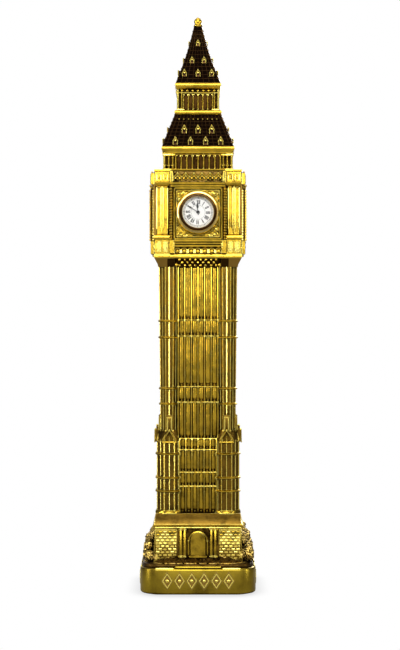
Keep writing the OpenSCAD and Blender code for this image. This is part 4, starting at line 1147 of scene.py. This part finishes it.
def enamel(name, colour, rough=0.35, coat=0.0, speckle=0.03, relief=0.05, metallic=0.0):
    """A plain finish with faint cloudiness, in colour and in gloss."""
    material, tree, shader = new_material(name, Metallic=metallic, Coat_Weight=coat)
    cloud = cloudy(tree, 700.0, 4.0)
    shade = tuple(c * (1 - 4 * speckle) for c in colour)
    connect(tree, shader, {
        "Base Color": mix_colour(tree, remap(tree, cloud, 0.3, 0.7), (*shade, 1), (*colour, 1)),
        "Roughness": remap(tree, cloud, 0.3, 0.7, rough * 0.8, rough * 1.25),
        "Normal": bump(tree, use(tree, GRAIN, Scale=2500.0, Pits=0.1)["Height"], relief, 0.0001)})
    return material


def plated(name, colour, rough):
    """Turned and plated metal with fine hairlines and a trace of painted shade in its corners."""
    material, tree, shader = new_material(name, Metallic=1.0)
    # Darker in the corners: painted shade.
    corners = use(tree, RECESS, Reach=0.0008, Edge_Reach=0.0003)["Recess"]
    corner_shade_colour = tuple(c * 0.35 for c in colour)
    lines = cloudy(tree, 2600.0, 2.0)
    connect(tree, shader, {
        "Base Color": mix_colour(tree, remap(tree, corners, 0.3, 0.9), (*colour, 1), (*corner_shade_colour, 1)),
        "Roughness": remap(tree, lines, 0.3, 0.7, rough * 0.7, rough * 1.5),
        "Normal": bump(tree, lines, 0.04, 0.00005)})
    return material


POLISHED = plated("polished_gold", (0.74, 0.55, 0.18), 0.08)
# A dark copy of the polished gold: a painted dark reflection on the bezel.
DARK_REFLECTION = plated("gold_painted_dark_reflection", (0.07, 0.035, 0.012), 0.1)
BRASS = plated("spring_brass", (0.78, 0.58, 0.25), 0.25)
STEEL = plated("plain_steel", (0.6, 0.6, 0.6), 0.32)
CARD = enamel("white_dial", (0.95, 0.95, 0.93), 0.5, speckle=0.01)
INK = enamel("dial_ink", (0.012, 0.012, 0.014), 0.5)
BLACK = enamel("black_hands", (0.008, 0.008, 0.009), 0.25, coat=0.5, metallic=0.3)
RUBBER = enamel("black_rubber", (0.02, 0.02, 0.02), 0.75)
PLASTIC = enamel("white_plastic", (0.8, 0.8, 0.76), 0.45)
BOARD = enamel("green_board", (0.02, 0.13, 0.05), 0.35, coat=0.4)
COPPER = enamel("copper_wire", (0.55, 0.2, 0.07), 0.3, metallic=1.0, relief=0.4)


def felt():
    """Pressed wool felt: short fibres in every direction, with a soft sheen."""
    material, tree, shader = new_material("felt", Roughness=0.95, Sheen_Weight=0.4, Sheen_Roughness=0.5)
    fibre = cloudy(tree, 2200.0, 6.0, Distortion=1.5)
    connect(tree, shader, {
        "Base Color": mix_colour(tree, fibre, (0.012, 0.035, 0.018, 1), (0.04, 0.10, 0.055, 1)),
        "Normal": bump(tree, fibre, 0.6, 0.0004)})
    return material


def lens_glass():
    """Clear plastic with a faint smear; it is mostly see-through, so that the dial reads plainly."""
    material, tree, shader = new_material("clear_lens", Metallic=0.0, IOR=1.49, Transmission_Weight=1.0,
                                          Alpha=0.25)
    connect(tree, shader, {"Roughness": remap(tree, cloudy(tree, 220.0, 3.0), 0.4, 0.8, 0.0, 0.05)})
    return material


FELT, LENS = felt(), lens_glass()


def bezel():
    """The turned bezel: a stepped outer rim, a hollow, and a rim round the lens, with a painted dark
    reflection over the hollow and that rim.
    """
    bm = bmesh.new()
    b, f, inner, outer = BEZEL_BACK, BEZEL_FRONT, LENS_R, BEZEL_R
    ring_disc(bm, [(inner - 0.3, b), (outer, b), (outer, b + 0.7), (outer - 0.15, b + 1.05),
                   (outer - 0.5, b + 1.3), (outer - 1.0, b + 1.35), (outer - 1.25, b + 1.2),
                   (outer - 1.45, b + 1.3), (outer - 1.6, b + 1.75), (outer - 1.95, b + 2.3),
                   (inner + 1.05, f - 0.12), (inner + 0.75, f), (inner + 0.4, f - 0.05),
                   (inner + 0.15, f - 0.35), (inner + 0.05, f - 0.8), (inner - 0.3, f - 1.5)], steps=96)
    # The hollow and the rim round the lens: a painted dark reflection.
    with_painted_shade(bm, ring_disc, [(inner + 0.02, b + 0.5), (inner + 0.1, f - 0.4), (inner + 0.4, f),
                         (inner + 0.75, f + 0.04), (inner + 1.05, f - 0.07), (outer - 1.92, b + 2.36),
                         (outer - 1.5, b + 1.7), (outer - 1.5, b + 0.5)], steps=96)
    finish("bezel_ring", bm, POLISHED, INSERT, ("insert_bezel",), smooth=28, recess=DARK_REFLECTION)


DIAL_TURN = radians(2.6)

STROKE = 0.42
NUMERALS = ("I", "II", "III", "IIII", "V", "VI", "VII", "VIII", "IX", "X", "XI", "XII")
# Each letter's width, and its strokes: two ends and a weight
GLYPHS = {"I": (0.62, [((0, 0), (0, 1), 1.0)]),
          "V": (1.25, [((-0.42, 1), (0, 0), 1.15), ((0.42, 1), (0, 0), 0.6)]),
          "X": (1.25, [((-0.42, 1), (0.42, 0), 1.15), ((0.42, 1), (-0.42, 0), 0.6)])}


def ink_stroke(bm, a, b, width, lift=0.02):
    """A flat printed line on the dial, between two (u, z) points about the dial's middle."""
    along = Vector(b) - Vector(a)
    middle = (Vector(a) + Vector(b)) / 2
    place = (Matrix.Translation((DIAL_X + middle.x, -DIAL_FACE - lift / 2, DIAL_Z + middle.y))
             @ Matrix.Rotation(atan2(along.x, along.y), 4, "Y")
             @ Matrix.Diagonal((width, lift, along.length, 1)))
    bmesh.ops.create_cube(bm, size=1, matrix=place)


def polar(r, angle):
    """A point on the dial, clockwise from twelve."""
    return (r * sin(angle + DIAL_TURN), r * cos(angle + DIAL_TURN))


def numeral(bm, hour, r0, r1):
    """One Roman numeral, standing on its radius with its foot to the middle."""
    angle = hour * pi / 6
    across = Vector(polar(1, angle + pi / 2))
    letters = [GLYPHS[c] for c in NUMERALS[hour - 1]]
    at = -sum(wide for wide, strokes in letters) / 2
    for wide, strokes in letters:
        for low, high, weight in strokes:
            ends = [Vector(polar(r0 + y * (r1 - r0), angle)) + across * (at + wide / 2 + x) * 0.92
                    for x, y in (low, high)]
            ink_stroke(bm, *ends, STROKE * weight)
        at += wide


def dial():
    bm = bmesh.new()
    flat_ring(bm, (0.9, DIAL_R + 0.5), (DIAL_FACE - 0.3, DIAL_FACE), 96)
    finish("dial_card", bm, CARD, INSERT, ("insert_dial",))
    ink = bmesh.new()
    for hour in range(1, 13):
        numeral(ink, hour, DIAL_R * 0.52, DIAL_R * 0.80)
    for minute in range(60):
        angle = minute * tau / 60
        wide = 0.42 if minute % 5 == 0 else 0.2
        ink_stroke(ink, polar(DIAL_R * 0.885, angle), polar(DIAL_R * 0.945, angle), wide)
    for share, wide in ((0.955, 0.1), (0.875, 0.1), (0.46, 0.07)):
        r = DIAL_R * share
        flat_ring(ink, (r - wide, r + wide), (DIAL_FACE, DIAL_FACE + 0.02), 96)
    finish("dial_print", ink, INK, INSERT)


MINUTE_ANGLE = radians(302)
HOUR_ANGLE = radians(330) + MINUTE_ANGLE / 12


def hand(name, node, body, angle, length, stem, leaf, boss):
    """A spade hand: tapering stem, a leaf and a fine tip, with a counterpoise. leaf is (place, width)."""
    front, back = (-y for y in extent(node, 1))
    bm = bmesh.new()
    at, wide = leaf
    right = [(stem * 0.6, -boss * 1.7), (stem * 0.5, 0), (stem * 0.36, at - wide * 1.1),
             (wide * 0.45, at - wide * 0.55), (wide * 0.52, at), (wide * 0.3, at + wide * 0.6),
             (stem * 0.3, at + wide * 1.1), (0.05, length)]
    prism(bm, right + [(-u, z) for u, z in reversed(right)], (back, front), 0.03)
    place = Matrix.Translation((0, -(back + front) / 2, 0)) @ Matrix.Rotation(pi / 2, 4, "X")
    bmesh.ops.create_cone(bm, cap_ends=True, segments=32, radius1=boss, radius2=boss,
                          depth=front - back + 0.04, matrix=place)
    bmesh.ops.rotate(bm, verts=bm.verts, cent=(0, 0, 0), matrix=Matrix.Rotation(angle, 3, "Y"))
    bmesh.ops.translate(bm, verts=bm.verts, vec=(DIAL_X, 0, DIAL_Z))
    finish(name, bm, BLACK, body, (node,))


def dress_nodes():
    """Finishes for the CAD pieces that stay as they are."""
    finishes = {
        BLACK: ("cannon_pinion",),
        BRASS: ("hour_wheel", "minute_wheel", "battery_strap"),
        STEEL: ("base_plate", "base_screws", "tie_rod", "rod_washer", "rod_nut", "insert_back",
                "movement_plate", "bridge_screws", "quartz_can", "battery", "setting_stem", "setting_lever"),
        POLISHED: ("insert_case", "setting_crown"),
        RUBBER: ("grip_ring",), PLASTIC: ("spacer_ring",), BOARD: ("movement_bridge",),
        COPPER: ("drive_coil",),
        FELT: ("base_felt",), LENS: ("insert_lens",)}
    for material, names in finishes.items():
        for name in names:
            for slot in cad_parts[name].material_slots:
                slot.material = material


# ---------- stage ----------

CAMERA_DISTANCE = 0.9
CAMERA_HEIGHT = 0.174
CAMERA_SHIFT = 0.0013
LENS_MM = 74.4


def put_in_scene(name, data):
    obj = bpy.data.objects.new(name, data)
    bpy.context.scene.collection.objects.link(obj)
    return obj


def camera():
    data = bpy.data.cameras.new("camera")
    data.lens = LENS_MM
    data.sensor_width = 36
    obj = put_in_scene("camera", data)
    obj.location = (CAMERA_SHIFT, -CAMERA_DISTANCE, CAMERA_HEIGHT)
    obj.rotation_euler = (pi / 2, 0, 0)
    bpy.context.scene.camera = obj


def softbox(name, place, aim, size, power):
    data = bpy.data.lights.new(name, "AREA")
    data.shape = "RECTANGLE"
    data.size, data.size_y = size
    data.energy = power
    obj = put_in_scene(name, data)
    obj.location = place
    obj.rotation_euler = (Vector(aim) - Vector(place)).to_track_quat("-Z", "Y").to_euler()


def camera_sees(tree, reflected, seen):
    """Gives the camera one shader and every reflection another."""
    direct = add(tree, "ShaderNodeLightPath").outputs["Is Camera Ray"]
    return add(tree, "ShaderNodeMixShader", {0: direct, 1: reflected, 2: seen}).outputs[0]


def studio():
    """White surroundings to the eye but dim ones to the metal, a pale floor, and soft boxes."""
    scene = bpy.context.scene
    scene.view_settings.view_transform = "Standard"
    scene.world = bpy.data.worlds.new("studio")
    scene.world.use_nodes = True
    tree = scene.world.node_tree
    seen_way = add(tree, "ShaderNodeTexCoord").outputs["Generated"]
    way = add(tree, "ShaderNodeSeparateXYZ", {0: seen_way}).outputs
    room = tree.nodes["Background"]
    flags = remap(tree, math_node(tree, "ABSOLUTE", way["X"]), 0.3, 0.85, 1.0, 0.12)
    rise = remap(tree, way["Z"], -0.35, 0.15, 0.12, 0.82)
    connect(tree, room, {"Color": (1.0, 0.98, 0.94, 1), "Strength": math_node(tree, "MULTIPLY", rise, flags)})
    white = add(tree, "ShaderNodeBackground", {"Color": (1, 1, 1, 1), "Strength": 1.0})
    both = camera_sees(tree, room.outputs[0], white.outputs[0])
    tree.links.new(both, tree.nodes["World Output"].inputs["Surface"])
    softbox("front", (0.0, -1.7, 0.95), (0, 0, 0.25), (1.3, 0.8), 20)
    softbox("left", (-1.1, -0.5, 0.45), (0, 0, 0.2), (0.3, 0.9), 8)
    softbox("right", (1.1, -0.6, 0.45), (0, 0, 0.2), (0.22, 0.8), 5)
    softbox("top", (0, -0.1, 1.3), (0, 0, 0.2), (0.8, 0.8), 3)
    softbox("rear", (0.3, 1.5, 0.8), (0, 0, 0.2), (1.0, 0.6), 16)


def floor():
    """White to the eye apart from a soft shadow at the foot, and mid grey in the metal's reflections."""
    bm = bmesh.new()
    bmesh.ops.create_grid(bm, x_segments=1, y_segments=1, size=4)
    mesh = bpy.data.meshes.new("floor")
    bm.to_mesh(mesh)
    bm.free()
    material, tree, shader = new_material("pale_floor", Roughness=0.8, Base_Color=(0.3, 0.29, 0.27, 1))
    near = add(tree, "ShaderNodeAmbientOcclusion", {"Distance": 0.015}, samples=16).outputs["AO"]
    paper = add(tree, "ShaderNodeEmission", {"Color": remap(tree, near, 0.4, 0.95, 0.78, 1.0)})
    both = camera_sees(tree, shader.outputs[0], paper.outputs[0])
    tree.links.new(both, tree.nodes["Material Output"].inputs["Surface"])
    mesh.materials.append(material)
    ground = put_in_scene("floor", mesh)


camera()
studio()
floor()
plinth()
bank()
podium()
shrubs()
lower_shaft()
upper_shaft()
clock_stage()
belfry()
lower_roof()
lantern()
spire()
finial()
bezel()
dial()
hand("hand_hour", "hour_hand", "hour_train", HOUR_ANGLE, DIAL_R * 0.58, 0.5, (DIAL_R * 0.40, 1.5), 1.1)
hand("hand_minute", "minute_hand", "minute_train", MINUTE_ANGLE, DIAL_R * 0.84, 0.42,
     (DIAL_R * 0.62, 1.0), 0.85)
dress_nodes()
